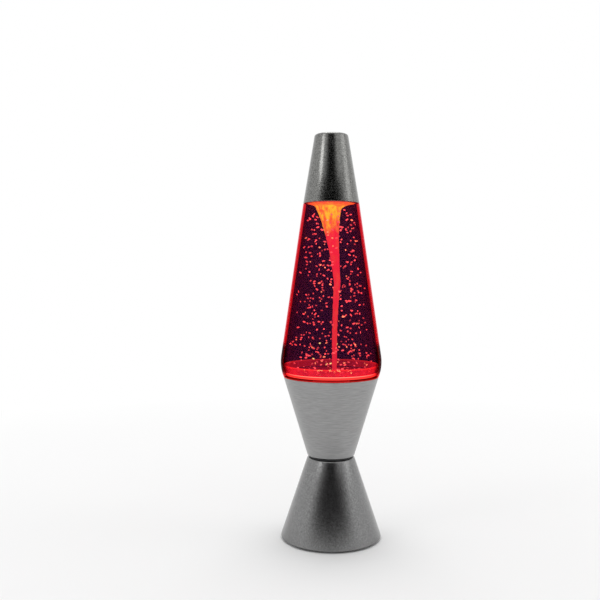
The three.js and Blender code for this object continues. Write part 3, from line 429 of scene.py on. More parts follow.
def place(tree, kind, sockets=(), **attributes):
    """Adds a node, with sockets that are numbers, colours or other nodes' outputs."""
    made = tree.nodes.new(kind)
    for name, value in attributes.items():
        setattr(made, name, value)
    for name, value in dict(sockets).items():
        if isinstance(value, bpy.types.NodeSocket):
            tree.links.new(value, made.inputs[name])
        else:
            made.inputs[name].default_value = value
    return made


def shading(tree, kind, sockets):
    """Adds a shader and returns what it gives off."""
    return place(tree, f"ShaderNode{kind}", sockets).outputs[0]


def maths(tree, operation, *values):
    return place(tree, "ShaderNodeMath", dict(enumerate(values)), operation=operation).outputs[0]


def start_finish(name):
    """A new material and its empty node tree."""
    material = bpy.data.materials.new(name)
    material.use_nodes = True
    tree = material.node_tree
    tree.nodes.clear()
    return material, tree


def end_finish(material, surface, volume=None, lamp=True):
    """Gives a material its surface and volume, and says whether its glow is sampled as a lamp."""
    tree = material.node_tree
    output = place(tree, "ShaderNodeOutputMaterial", {"Surface": surface})
    if volume is not None:
        tree.links.new(volume, output.inputs["Volume"])
    if not lamp:
        material.cycles.emission_sampling = "NONE"
    return material


def position(tree):
    return place(tree, "ShaderNodeTexCoord").outputs["Object"]


def along(tree, axis):
    return place(tree, "ShaderNodeSeparateXYZ", {0: position(tree)}).outputs[axis]


def axis_distance(tree):
    flat = place(tree, "ShaderNodeVectorMath", {
        0: position(tree), 1: (1.0, 1.0, 0.0),
    }, operation="MULTIPLY")
    return place(tree, "ShaderNodeVectorMath", {0: flat.outputs[0]}, operation="LENGTH").outputs["Value"]


def noise_on(tree, scale, stretch=EVEN, detail=2.0):
    mapping = place(tree, "ShaderNodeMapping", {"Vector": position(tree), "Scale": stretch})
    return place(tree, "ShaderNodeTexNoise", {
        "Vector": mapping.outputs["Vector"], "Scale": scale, "Detail": detail,
    }).outputs[0]


def ranged(tree, value, low_in, high_in, low_out=0.0, high_out=1.0):
    """Turns a range of values into another and holds what lies beyond it at its ends."""
    return place(tree, "ShaderNodeMapRange", {
        "Value": value, "From Min": low_in, "From Max": high_in, "To Min": low_out, "To Max": high_out,
    }).outputs["Result"]


def spread_over(tree, grain, low, high):
    """Turns the values that a noise mostly has into a range."""
    return ranged(tree, grain, 0.3, 0.7, low, high)


def blended(tree, factor, first, second):
    """A mix of two colours or colour outputs."""
    made = place(tree, "ShaderNodeMix", data_type="RGBA")
    for index, value in ((0, factor), (6, first), (7, second)):
        if isinstance(value, bpy.types.NodeSocket):
            tree.links.new(value, made.inputs[index])
        else:
            made.inputs[index].default_value = value
    return made.outputs[2]


def grained(name, wanted, roughness, metallic, scale, stretch, contrast, depth, rough_spread):
    """A solid finish with a grain in its colour, its gloss and its relief."""
    material, tree = start_finish(name)
    base = linear(wanted)
    grain = noise_on(tree, scale, stretch, 3.0)
    tone = spread_over(tree, grain, 0.0, 1.0)
    relief = place(tree, "ShaderNodeBump", {"Height": grain, "Distance": depth, "Strength": 1.0})
    return end_finish(material, shading(tree, "BsdfPrincipled", {
        "Base Color": blended(tree, tone, with_alpha(base, 1 - contrast), with_alpha(base, 1 + contrast)),
        "Roughness": spread_over(tree, grain, roughness - rough_spread, roughness + rough_spread),
        "Metallic": metallic,
        "Specular IOR Level": 0.5,
        "Normal": relief.outputs["Normal"],
    }))


def solid_finish(name):
    """The solid finish of that name, made the first time that it is asked for."""
    wanted = getattr(settings("lamp_finishes"), name.replace(" ", "_"))
    return bpy.data.materials.get(name) or grained(name, wanted, *SOLID_FINISHES[name])


# How the funnel's streaks turn one colour into another: the noise's low and high, and the shares they give
STEM_STREAKS = (0.45, 0.7, 0.0, 0.4)
MOUTH_STREAKS = (0.4, 0.62, 0.0, 0.95)
LIP_STREAKS = (0.5, 0.75, 0.0, 0.6)

# The part of a cloudy noise's values over which dark patches turn into light ones
PATCHES = (0.35, 0.65)

# How much of the light from inside the liquid reaches the eye, by which what glows in it is raised
LIQUID_OPEN = 0.20
LIQUID_TINT = (1.0, 0.62, 0.72)
LIQUID_DENSITY = 16.0
LIQUID_PASS = (0.26, 0.14, 0.16)
WALL_DENSITY = 230.0
WALL_PASS = (0.88, 0.0, 0.12)

# What the bulge's dark edge lets through
EDGE_PASS = (0.26, 0.2, 0.3)

# How deep in the liquid, in metres, each lit thing is taken to lie
STEM_DEPTH = 0.032
LIP_DEPTH = 0.02
MOUTH_DEPTH = 0.018
FLOOR_DEPTH = 0.045
FLOOR_RIM_DEPTH = 0.010
SHINE_DEPTH = 0.04


def through_liquid(wanted, depth):
    """The light that something in the liquid gives off, so that it is seen in a colour from outside."""
    wall = settings("lamp_bottle").wall
    out = []
    for value, tint, taken, held in zip(linear(wanted), LIQUID_TINT, LIQUID_PASS, WALL_PASS):
        passed = LIQUID_OPEN * tint
        passed *= math.exp(-LIQUID_DENSITY * (1 - taken) * depth)
        passed *= math.exp(-WALL_DENSITY * (1 - held) * wall)
        out.append(value / passed)
    return out


def glows(level, *rows):
    """Lit colours for each colour as it is seen and the depth it lies at."""
    return [with_alpha(through_liquid(wanted, depth), level) for wanted, depth in rows]


def liquid_finish():
    """Dark liquid: a plum surface that lets part of the view through, over an even darkening, with a faint
    painted plum glow for the lamp's light in the liquid.
    """
    material, tree = start_finish("dark liquid")
    plum = linear(settings("lamp_finishes").plum)
    cloud = noise_on(tree, scale=60.0, stretch=(1.0, 1.0, 0.6))
    body = shading(tree, "BsdfPrincipled", {
        "Base Color": blended(tree, cloud, with_alpha(plum, 0.8), with_alpha(plum)),
        "Roughness": 0.6,
        "Specular IOR Level": 0.0,
        # painted light: a faint plum glow for the lamp's light in the liquid
        "Emission Color": with_alpha(plum),
        "Emission Strength": 0.35,
    })
    clear = shading(tree, "BsdfTransparent", {"Color": with_alpha(LIQUID_TINT)})
    mixed = shading(tree, "MixShader", {0: 1 - LIQUID_OPEN, 1: clear, 2: body})
    dark = shading(tree, "VolumeAbsorption", {
        "Color": with_alpha(LIQUID_PASS), "Density": LIQUID_DENSITY,
    })
    return end_finish(material, mixed, dark)


def bottle_finish():
    """Clear plastic with a red tint that gathers along its edges, glowing where it stands on the rim."""
    material, tree = start_finish("tinted clear plastic")
    height = along(tree, "Z")
    rim = highest("upper_cup").z
    glow_top = rim + settings("lamp_bottle").ledge_rise

    glow = linear(settings("lamp_finishes").rim_glow)
    strength = max(glow)
    glow_share, glow_from, glow_full = 0.25, rim - 0.0008, rim + 0.0002
    over_rim = ranged(tree, height, glow_full, glow_top, strength * glow_share, 0.0)
    from_rim = ranged(tree, height, glow_from, glow_full)
    lit = shading(tree, "Emission", {
        "Color": with_alpha([value / strength for value in glow]),
        "Strength": maths(tree, "MULTIPLY", over_rim, from_rim),
    })

    # the bulge lets less through towards its edge, where thick plastic bends the light
    facing = place(tree, "ShaderNodeLayerWeight", {"Blend": 0.5}).outputs["Facing"]
    dark_from, dark_full = glow_top + 0.001, glow_top + 0.004
    dark_until, dark_gone = rim + 0.026, rim + 0.031
    edge_from, edge_full = 0.6, 0.74
    low_bulge = ranged(tree, height, dark_from, dark_full)
    under_taper = ranged(tree, height, dark_until, dark_gone, 1.0, 0.0)
    in_bulge = maths(tree, "MULTIPLY", low_bulge, under_taper)
    dimmed = maths(tree, "MULTIPLY", in_bulge, ranged(tree, facing, edge_from, edge_full))
    view = blended(tree, dimmed, WHITE, with_alpha(EDGE_PASS))

    grazing_power, mirror_from, mirror_most = 5.0, 0.15, 0.1
    ripple = noise_on(tree, scale=70.0, stretch=(1.0, 1.0, 0.5))
    glossy = shading(tree, "BsdfGlossy", {
        "Color": WHITE, "Roughness": spread_over(tree, ripple, 0.04, 0.07),
    })
    grazing = maths(tree, "POWER", facing, grazing_power)
    mirror = ranged(tree, grazing, mirror_from, 1.0, 0.0, mirror_most)
    clear = shading(tree, "BsdfTransparent", {"Color": view})
    mixed = shading(tree, "MixShader", {0: mirror, 1: clear, 2: glossy})
    both = shading(tree, "AddShader", {0: mixed, 1: lit})
    tint = shading(tree, "VolumeAbsorption", {"Color": with_alpha(WALL_PASS), "Density": WALL_DENSITY})
    return end_finish(material, both, tint)


def funnel_finish():
    """The funnel's lit skin: a red-orange lip, a yellow mouth and a red stem, with rising streaks."""
    material, tree = start_finish("lit funnel skin")
    finishes = settings("lamp_finishes")
    red, orange, yellow, shade_line_red = glows(
        1.0, (finishes.red, STEM_DEPTH), (finishes.orange, LIP_DEPTH), (finishes.yellow, MOUTH_DEPTH),
        (finishes.lip_shade_line, LIP_DEPTH),
    )
    top = highest("liquid").z
    height = along(tree, "Z")
    streaks = noise_on(tree, scale=260.0, stretch=(1.0, 1.0, 0.35), detail=4.0)
    bands = noise_on(tree, scale=110.0, stretch=(2.2, 2.2, 0.8), detail=3.0)

    # the mouth reaches lower on the left than on the right, with an uneven lower edge
    reach, slant, ragged = 0.012, 0.006, 0.007
    mouth_from, mouth_full = top - 0.027, top - 0.013
    lip_from, lip_full = top - 0.0032, top - 0.0016
    leftward = ranged(tree, along(tree, "X"), -reach, reach, slant, -slant)
    uneven = spread_over(tree, bands, -ragged, ragged)
    wavy = maths(tree, "ADD", maths(tree, "ADD", height, leftward), uneven)
    in_mouth = ranged(tree, wavy, mouth_from, mouth_full)
    in_lip = ranged(tree, height, lip_from, lip_full)
    stem = blended(tree, ranged(tree, streaks, *STEM_STREAKS), red, orange)
    mouth = blended(tree, ranged(tree, streaks, *MOUTH_STREAKS), yellow, orange)
    lip = blended(tree, ranged(tree, streaks, *LIP_STREAKS), orange, yellow)
    upper = blended(tree, in_lip, blended(tree, in_mouth, stem, mouth), lip)

    # painted shade: a dark line where the lip meets the bottle, for the shadowed edge of the liquid's surface
    # at the wall
    wall = bottle_side(top, liquid_inset())
    line_from, line_full = wall - 0.0016, wall - 0.0008
    line_foot, line_head = top - 0.003, top - 0.002
    at_wall = ranged(tree, axis_distance(tree), line_from, line_full)
    near_top = ranged(tree, height, line_foot, line_head)
    on_shade_line = maths(tree, "MULTIPLY", at_wall, near_top)
    glow = shading(tree, "Emission", {"Color": blended(tree, on_shade_line, upper, shade_line_red), "Strength": 1.0})
    return end_finish(material, glow, lamp=False)


def floor_finish(name, dimmer):
    """The lit floor: uneven red, brighter along its outer edge."""
    material, tree = start_finish(name)
    finishes = settings("lamp_finishes")
    dark, light, rim = glows(
        dimmer, (finishes.floor_dark, FLOOR_DEPTH), (finishes.floor_light, FLOOR_DEPTH),
        (finishes.floor_rim, FLOOR_RIM_DEPTH),
    )
    edge, _, face = highest("bottle_floor")
    out = axis_distance(tree)
    cloud = noise_on(tree, scale=130.0, detail=4.0)
    patches = blended(tree, ranged(tree, cloud, *PATCHES), dark, light)
    rim_from, rim_full = edge - 0.003, edge - 0.0005
    at_rim = ranged(tree, out, rim_from, rim_full)

    # no liquid hides the floor's side and its well, so they give off far less than its face does
    face_from, face_full, well_level, side_level = face - 0.0004, face - 0.0001, 0.012, 0.1
    on_face = ranged(tree, along(tree, "Z"), face_from, face_full)
    on_side = ranged(tree, out, rim_from, rim_full, well_level, side_level)
    return end_finish(material, shading(tree, "BsdfPrincipled", {
        "Base Color": with_alpha(linear(finishes.floor_body)),
        "Roughness": 0.4,
        "Emission Color": blended(tree, at_rim, patches, rim),
        "Emission Strength": maths(tree, "MAXIMUM", on_face, on_side),
    }), lamp=False)


def shine_finish():
    """Red light on the wall, half seen through, brighter along its upper edge."""
    material, tree = start_finish("floor shine")
    finishes = settings("lamp_finishes")
    top = highest("bottle_floor").z + settings("lamp_funnel").shine_height
    dark, light, line = glows(
        1.0, (finishes.shine_dark, SHINE_DEPTH), (finishes.shine_light, SHINE_DEPTH),
        (finishes.shine_line, SHINE_DEPTH),
    )
    cloud = noise_on(tree, scale=110.0, detail=3.0)
    patches = blended(tree, ranged(tree, cloud, *PATCHES), dark, light)
    line_from, line_full, cover = top - 0.0012, top - 0.0004, 0.5
    at_top = ranged(tree, along(tree, "Z"), line_from, line_full)
    glow = shading(tree, "Emission", {"Color": blended(tree, at_top, patches, line), "Strength": 1.0})
    clear = shading(tree, "BsdfTransparent", {"Color": WHITE})
    return end_finish(material, shading(tree, "MixShader", {0: cover, 1: clear, 2: glow}), lamp=False)


def glitter_finish():
    """Lit flakes, each with a colour of its own."""
    material, tree = start_finish("lit glitter")
    own = place(tree, "ShaderNodeVertexColor", layer_name="glow")
    dullest, brightest = 0.75, 1.2
    strength = spread_over(tree, noise_on(tree, scale=1500.0), dullest, brightest)
    glow = shading(tree, "Emission", {"Color": own.outputs["Color"], "Strength": strength})
    return end_finish(material, glow, lamp=False)


def window_finish():
    """Frosted clear plastic over the lights."""
    material, tree = start_finish("frosted window")
    base = linear(settings("lamp_finishes").clear)
    frost, cover = noise_on(tree, scale=1400.0), 0.55
    body = shading(tree, "BsdfPrincipled", {
        "Base Color": blended(tree, frost, with_alpha(base, 0.9), with_alpha(base)),
        "Roughness": 0.45,
    })
    clear = shading(tree, "BsdfTransparent", {"Color": (1.0, 0.97, 0.96, 1.0)})
    return end_finish(material, shading(tree, "MixShader", {0: cover, 1: clear, 2: body}))


def light_finish():
    """A small light: a pale housing with a lit dome."""
    material, tree = start_finish("lit light")
    top = highest("light_1").z
    speck = noise_on(tree, scale=900.0)
    dome_from, dome_full, dome_glow = top - 0.0006, top - 0.0004, 2.5
    return end_finish(material, shading(tree, "BsdfPrincipled", {
        "Base Color": blended(tree, speck, (0.75, 0.7, 0.55, 1.0), (0.85, 0.8, 0.66, 1.0)),
        "Roughness": 0.3,
        "Emission Color": (1.0, 0.16, 0.1, 1.0),
        "Emission Strength": ranged(tree, along(tree, "Z"), dome_from, dome_full, 0.0, dome_glow),
    }), lamp=False)


def card_finish(name, dark_half, half):
    """Black cloth that turns light towards the card's side edges."""
    material, tree = start_finish(name)
    slant = maths(tree, "ABSOLUTE", maths(tree, "DIVIDE", along(tree, "X"), along(tree, "Y")))
    low, high = math.tan(math.radians(dark_half)), math.tan(math.radians(half))
    black, dark_grey, edge_share = with_alpha([0.004] * 3), with_alpha([0.008] * 3), 0.85
    cloth = blended(tree, noise_on(tree, scale=5.0), black, dark_grey)
    lighter = ranged(tree, slant, low, high, 0.0, edge_share)
    return end_finish(material, shading(tree, "Emission", {"Color": blended(tree, lighter, cloth, WHITE)}))


def pale_floor_finish():
    """A pale floor that turns into the white background."""
    material, tree = start_finish("pale floor")
    studio = settings("lamp_studio")
    pale, paler = with_alpha([0.86] * 3), with_alpha([0.88] * 3)
    matt = shading(tree, "BsdfPrincipled", {
        "Base Color": blended(tree, noise_on(tree, scale=3.0), pale, paler),
        "Roughness": 0.75,
        "Specular IOR Level": 0.2,
    })
    fade_from = studio.floor_fade / 4
    away = ranged(tree, axis_distance(tree), fade_from, studio.floor_fade)
    white = shading(tree, "Emission", {"Color": WHITE, "Strength": studio.seen_white})
    return end_finish(material, shading(tree, "MixShader", {0: away, 1: matt, 2: white}))


# Shapes that several pieces share


def straight_side(node):
    """The radius at a height on the straight outer side of a cone, a cup or the cap."""
    base = settings("lamp_base")
    low_radius, high_radius = {
        "lower_cone": (base.base_radius, base.waist_radius),
        "upper_cup": (base.cup_foot_radius, base.rim_radius),
        "cap": (highest("cap").x, settings("lamp_bottle").cap_top_radius),
    }[node]
    low = lowest(node).z
    slope = (high_radius - low_radius) / (highest(node).z - low)
    return lambda height: low_radius + slope * (height - low)


def bulge_centre():
    """Radius and height of the centre that the bottle's bulge is drawn from."""
    sizes = settings("lamp_bottle")
    return highest("bottle").x - sizes.bulge_round, highest("upper_cup").z + sizes.bulge_rise


def taper_turn():
    """How far the bottle's straight side leans in."""
    radius, height = bulge_centre()
    rise = lowest("cap").z - height
    run = highest("cap").x - radius
    return math.atan2(rise, run) - math.acos(settings("lamp_bottle").bulge_round / math.hypot(rise, run))


def bulge_top(inset):
    """The height where the bottle's bulge runs into its straight side."""
    return bulge_centre()[1] + (settings("lamp_bottle").bulge_round - inset) * math.sin(taper_turn())


def bottle_side(height, inset):
    """The bottle's radius at a height, on its outer side or a distance inside it."""
    radius, centre = bulge_centre()
    rounding = settings("lamp_bottle").bulge_round - inset
    turn = taper_turn()
    tangent = bulge_top(inset)
    if height <= tangent:
        return radius + math.sqrt(rounding ** 2 - (height - centre) ** 2)
    return radius + rounding * math.cos(turn) - (height - tangent) * math.tan(turn)


def side_points(low, high, inset, count):
    """Points up the bottle's side, close together where it curves."""
    tangent = bulge_top(inset)
    bend = min(tangent, high)
    heights = [low + (bend - low) * index / count for index in range(count + 1)]
    if high > tangent:
        heights.append(high)
    return [(bottle_side(height, inset), height) for height in heights]


def liquid_inset():
    """How far inside the bottle's outer side the liquid ends."""
    return settings("lamp_bottle").wall + settings("lamp_base").clearance


# The funnel's lean: shares of its depth, each with a share of its greatest lean
LEAN_SHARES = (
    (0.0, 0.0),
    (0.034, -0.41),
    (0.134, -0.04),
    (0.3, 0.54),
    (0.47, 1.0),
    (0.565, 0.78),
    (0.77, 0.59),
    (1.0, 0.57),
)

# How much closer together the funnel's rings are at its lip than at its foot
RING_CROWDING = 2.2


def funnel_foot():
    return highest("bottle_floor").z + settings("lamp_funnel").foot_gap


def funnel_radius(height):
    """The funnel's radius at a height."""
    sizes = settings("lamp_funnel")
    top = highest("liquid").z
    depth = top - height
    spread = bottle_side(top, liquid_inset()) - sizes.foot_radius - sizes.bell_radius
    return (
        sizes.foot_radius + sizes.bell_radius * math.exp(-depth / sizes.bell_depth)
        + spread * math.exp(-depth / sizes.lip_depth)
    )


def funnel_lean(height):
    """How far the funnel leans towards +X at a height."""
    top = highest("liquid").z
    along_depth = min(max((top - height) / (top - funnel_foot()), 0.0), 1.0)
    for (start, start_lean), (end, end_lean) in zip(LEAN_SHARES, LEAN_SHARES[1:]):
        if along_depth <= end:
            part = (along_depth - start) / (end - start)
            return settings("lamp_funnel").lean * (start_lean + (end_lean - start_lean) * part)


def funnel_heights():
    """Heights down the funnel, close together at its lip."""
    top = highest("liquid").z
    deep = top - funnel_foot()
    count = settings("lamp_funnel").rings
    return [top - deep * (index / count) ** RING_CROWDING for index in range(1, count + 1)]


def lean_over(bm, test):
    """Moves what a test picks sideways with the funnel."""
    for vert in bm.verts:
        if test(vert.co):
            vert.co.x += funnel_lean(vert.co.z)


def four_alike(stem):
    """The number, low corner, high corner, middle and radius of each of four like round pieces."""
    for index in range(1, 5):
        low, high = BOXES[f"{stem}_{index}"]
        middle = (low + high) / 2
        middle.z = 0.0
        yield index, low, high, middle, (high.x - low.x) / 2


def direction(turn, lift):
    """The direction at a turn from the front towards +X and a lift over the horizon, in degrees."""
    turn, lift = math.radians(turn), math.radians(lift)
    return Vector((math.sin(turn) * math.cos(lift), -math.cos(turn) * math.cos(lift), math.sin(lift)))


# Pieces, one operator for each piece or group of like pieces


class LampOperator:
    """What the lamp's operators share."""

    bl_options = {"REGISTER", "UNDO"}


class AddLowerCone(LampOperator, bpy.types.Operator):
    """Spin the lower cone with its turned-in lip, tabs and rear cut-out"""

    bl_idname = "lamp.add_lower_cone"
    bl_label = "Lower Cone"

    def execute(self, context):
        sizes = settings("lamp_base")
        side = straight_side("lower_cone")
        low, high = lowest("lower_cone").z, highest("lower_cone").z
        plate = low + sizes.plate_recess
        lip = sizes.base_radius - sizes.base_lip
        under = high - sizes.sheet
        bm = turned([
            (lip, low),
            (sizes.base_radius, low),
            (sizes.waist_radius, high),
            (sizes.tube_hole, high),
            (sizes.tube_hole, under),
            (side(under) - sizes.sheet, under),
            (side(plate) - sizes.sheet, plate),
            (lip, plate),
        ], [
            (sizes.base_radius, low, sizes.base_edge_round),
            (sizes.waist_radius, high, sizes.waist_round),
        ], closed=True)
        insert_low, insert_high = BOXES["rear_insert"]
        margin = settings("lamp_insert").flange - sizes.clearance
        bm = cut_block(
            bm, (insert_low.x + margin, insert_low.y, insert_low.z + margin),
            (insert_high.x - margin, sizes.base_radius, insert_high.z - margin),
        )
        self.add_tabs(bm, side)
        piece("cone_shell", bm, "base", "aluminium", ["lower_cone"], solid_finish("cone metal"))
        return {"FINISHED"}

    def add_tabs(self, bm, side):
        """Four tabs inside the foot of the cone, which the base screws pull the plate against."""
        sizes = settings("lamp_base")
        plate_thickness, reach_share, sunk_share = 0.0025, 0.43, 0.6
        screw = (lowest("base_screw_1").x + highest("base_screw_1").x) / 2
        low = lowest("base_plate").z + plate_thickness + sizes.clearance
        half = sizes.tab_width / 2
        for index in range(4):
            turn = Matrix.Rotation(index * math.pi / 2, 3, "Z")
            verts = block(
                bm, (screw - sizes.tab_width * reach_share, -half, low),
                (side(low) - sizes.sheet * sunk_share, half, low + sizes.sheet),
            )
            bmesh.ops.rotate(bm, verts=verts, cent=(0, 0, 0), matrix=turn)


class AddUpperCup(LampOperator, bpy.types.Operator):
    """Spin the upper cup that holds the bottle"""

    bl_idname = "lamp.add_upper_cup"
    bl_label = "Upper Cup"

    def execute(self, context):
        sizes = settings("lamp_base")
        inner_round_share = 0.8
        low, high = lowest("upper_cup").z, highest("upper_cup").z
        floor = low + sizes.sheet
        inner_rim = sizes.rim_radius - sizes.sheet
        bm = turned([
            (sizes.tube_hole, low),
            (sizes.cup_foot_radius, low),
            (sizes.rim_radius, high),
            (inner_rim, high),
            (straight_side("upper_cup")(floor) - sizes.sheet, floor),
            (sizes.tube_hole, floor),
        ], [
            (sizes.cup_foot_radius, low, sizes.cup_foot_round),
            (sizes.rim_radius, high, sizes.rim_round),
            (inner_rim, high, sizes.rim_round * inner_round_share),
        ], closed=True)
        piece("cup_shell", bm, "base", "aluminium", ["upper_cup"], solid_finish("cup metal"))
        return {"FINISHED"}


class AddWaistRing(LampOperator, bpy.types.Operator):
    """Turn the dark spacer ring between the cones"""

    bl_idname = "lamp.add_waist_ring"
    bl_label = "Waist Ring"

    def execute(self, context):
        low, high = BOXES["waist_ring"]
        rounding = 0.0002
        bm = turned(
            ring_outline(settings("lamp_base").tube_hole, high.x, low.z, high.z),
            [(high.x, low.z, rounding), (high.x, high.z, rounding)], closed=True, segments=2,
        )
        piece("waist_spacer", bm, "base", "black_plastic", ["waist_ring"])
        return {"FINISHED"}


class AddFeet(LampOperator, bpy.types.Operator):
    """Turn the four rubber foot pads"""

    bl_idname = "lamp.add_feet"
    bl_label = "Foot Pads"

    def execute(self, context):
        rounding = 0.0007
        for index, low, high, middle, radius in four_alike("foot"):
            bm = turned(ring_outline(0.0, radius, low.z, high.z), [(radius, low.z, rounding)])
            bmesh.ops.translate(bm, verts=bm.verts, vec=middle)
            piece(f"foot_pad_{index}", bm, "base", "soft_rubber", [f"foot_{index}"])
        return {"FINISHED"}


class AddBaseScrews(LampOperator, bpy.types.Operator):
    """Turn the four screws under the base and cut their cross recesses"""

    bl_idname = "lamp.add_base_screws"
    bl_label = "Base Screws"

    def execute(self, context):
        head_height, head_round, shank_share = 0.0015, 0.0005, 0.52
        arm_length, arm_width, cross_depth, cut_below = 0.62, 0.17, 0.0008, 0.001
        for index, low, high, middle, head in four_alike("base_screw"):
            shank = head * shank_share
            under = low.z + head_height
            bm = turned([
                (0.0, low.z),
                (head, low.z),
                (head, under),
                (shank, under),
                (shank, high.z),
                (0.0, high.z),
            ], [(head, low.z, head_round)])
            for long, wide in ((arm_length, arm_width), (arm_width, arm_length)):
                bm = cut_block(
                    bm, (-head * long, -head * wide, low.z - cut_below),
                    (head * long, head * wide, low.z + cross_depth),
                )
            bmesh.ops.translate(bm, verts=bm.verts, vec=middle)
            piece(f"base_screw_head_{index}", bm, "base", "steel", [f"base_screw_{index}"])
        return {"FINISHED"}


class AddWindow(LampOperator, bpy.types.Operator):
    """Turn the frosted window over the lights and the soft ring that the bottle stands on"""

    bl_idname = "lamp.add_window"
    bl_label = "Light Window"

    def execute(self, context):
        flange, skirt_wall, dome_wall, roof_thickness = 0.002, 0.0016, 0.0015, 0.0014
        board_margin, holder_gap, dome_round, corner_round = 0.0005, 0.0012, 0.0007, 0.0005
        gasket_width, gasket_round = 0.0018, 0.0005
        low, high = BOXES["light_window"]
        under = lowest("seat_ring").z - settings("lamp_base").clearance - flange
        over = under + flange
        skirt = highest("light_board").x - board_margin
        inner_dome = highest("magnet_holder").x + holder_gap
        dome = inner_dome + dome_wall
        roof = high.z - roof_thickness
        bm = turned([
            (0.0, roof),
            (inner_dome, roof),
            (inner_dome, under),
            (skirt - skirt_wall, under),
            (skirt - skirt_wall, low.z),
            (skirt, low.z),
            (skirt, under),
            (high.x, under),
            (high.x, over),
            (dome, over),
            (dome, high.z),
            (0.0, high.z),
        ], [(dome, high.z, dome_round), (dome, over, corner_round)])
        piece("window_lens", bm, "base", "window", ["light_window"], window_finish())
        low, high = BOXES["seat_ring"]
        inner = high.x - gasket_width
        ring = turned(
            ring_outline(inner, high.x, low.z, high.z),
            [(high.x, high.z, gasket_round), (inner, high.z, gasket_round)], closed=True,
        )
        piece("seat_gasket", ring, "base", "soft_rubber", ["seat_ring"])
        return {"FINISHED"}


class AddBottle(LampOperator, bpy.types.Operator):
    """Turn the clear bottle with its skirt, bulge, taper and neck"""

    bl_idname = "lamp.add_bottle"
    bl_label = "Bottle"

    def execute(self, context):
        base = settings("lamp_base")
        sizes = settings("lamp_bottle")
        bulge_points, mouth_round, taper_end = 18, 0.0004, 0.003
        cup, cap = straight_side("upper_cup"), straight_side("cap")
        low, top = lowest("bottle").z, highest("bottle").z
        step = highest("upper_cup").z + base.clearance
        ledge = highest("upper_cup").z + sizes.ledge_rise
        inside_cup = base.sheet + base.clearance
        seat = lowest("cap").z - base.clearance
        inside_cap = sizes.cap_sheet + base.clearance
        seat_top = seat + sizes.seat_rise
        inner_top = seat_top - sizes.shoulder_drop
        root = lowest("cap").z + sizes.neck_root_rise
        shoulder = (cap(seat_top) - inside_cap, seat_top)
        inner_shoulder = (bottle_side(inner_top, sizes.wall), inner_top)
        bm = turned([
            (cup(low) - inside_cup - sizes.wall, low),
            (cup(low) - inside_cup, low),
            (cup(step) - inside_cup, step),
            *side_points(step, seat, 0.0, bulge_points),
            (cap(lowest("cap").z) - inside_cap, seat),
            shoulder,
            (sizes.neck_radius, root),
            (sizes.neck_radius, top),
            (sizes.neck_bore, top),
            (sizes.neck_bore, root),
            inner_shoulder,
            *reversed(side_points(ledge, inner_top - taper_end, sizes.wall, bulge_points)),
            (cup(ledge) - inside_cup - sizes.wall, ledge),
        ], [
            (*shoulder, sizes.shoulder_round),
            (*inner_shoulder, sizes.shoulder_inner_round),
            (sizes.neck_radius, root, sizes.neck_root_round),
            (sizes.neck_radius, top, mouth_round),
            (sizes.neck_bore, top, mouth_round),
        ], closed=True)
        piece("bottle_shell", bm, "bottle", "bottle", ["bottle"], bottle_finish())
        return {"FINISHED"}


class AddBottleFloor(LampOperator, bpy.types.Operator):
    """Turn the lit floor of the bottle with the impeller's well"""

    bl_idname = "lamp.add_bottle_floor"
    bl_label = "Lit Floor"

    def execute(self, context):
        clearance = settings("lamp_base").clearance
        sizes = settings("lamp_bottle")
        boss, edge_round, well_edge_round, glow_level = 0.003, 0.0003, 0.0006, 2.1
        low, high = BOXES["bottle_floor"]
        under = high.z - sizes.floor
        edge = bottle_side(under, sizes.wall) - clearance
        well_floor = low.z + sizes.well_wall
        pin_hole_floor = lowest("impeller_pin").z - clearance
        pin_hole = highest("impeller_pin").x + clearance
        boss_top = lowest("impeller").z - clearance
        outer = sizes.well_inner + sizes.well_wall
        bm = turned([
            (0.0, low.z),
            (outer, low.z),
            (outer, under),
            (edge, under),
            (edge, high.z),
            (sizes.well_inner, high.z),
            (sizes.well_inner, well_floor),
            (boss, well_floor),
            (boss, boss_top),
            (pin_hole, boss_top),
            (pin_hole, pin_hole_floor),
            (0.0, pin_hole_floor),
        ], [
            (outer, low.z, sizes.well_round),
            (edge, high.z, edge_round),
            (sizes.well_inner, high.z, well_edge_round),
        ])
        finish = floor_finish("lit floor", glow_level)
        piece("lit_floor", bm, "bottle", "lit_floor", ["bottle_floor"], finish)
        return {"FINISHED"}


class AddLiquid(LampOperator, bpy.types.Operator):
    """Turn the liquid with the hollow of the funnel down its middle"""

    bl_idname = "lamp.add_liquid"
    bl_label = "Liquid"

    def execute(self, context):
        clearance = settings("lamp_base").clearance
        wall_points, foot_margin, wall_margin = 16, 1e-5, 1e-4
        gap = liquid_inset()
        bottom = highest("bottle_floor").z + clearance
        well = settings("lamp_bottle").well_inner - clearance
        well_bottom = bottom - settings("lamp_funnel").well_drop
        bm = turned([
            (0.0, well_bottom),
            (well, well_bottom),
            (well, bottom),
            *side_points(bottom, highest("liquid").z, gap, wall_points),
            *[(funnel_radius(height), height) for height in funnel_heights()],
            (0.0, funnel_foot()),
        ])
        foot = funnel_foot() - foot_margin

        def in_funnel(co):
            return co.z > foot and math.hypot(co.x, co.y) < bottle_side(co.z, gap) - wall_margin

        lean_over(bm, in_funnel)
        piece("liquid_body", bm, "bottle", "liquid", ["liquid"], liquid_finish())
        return {"FINISHED"}


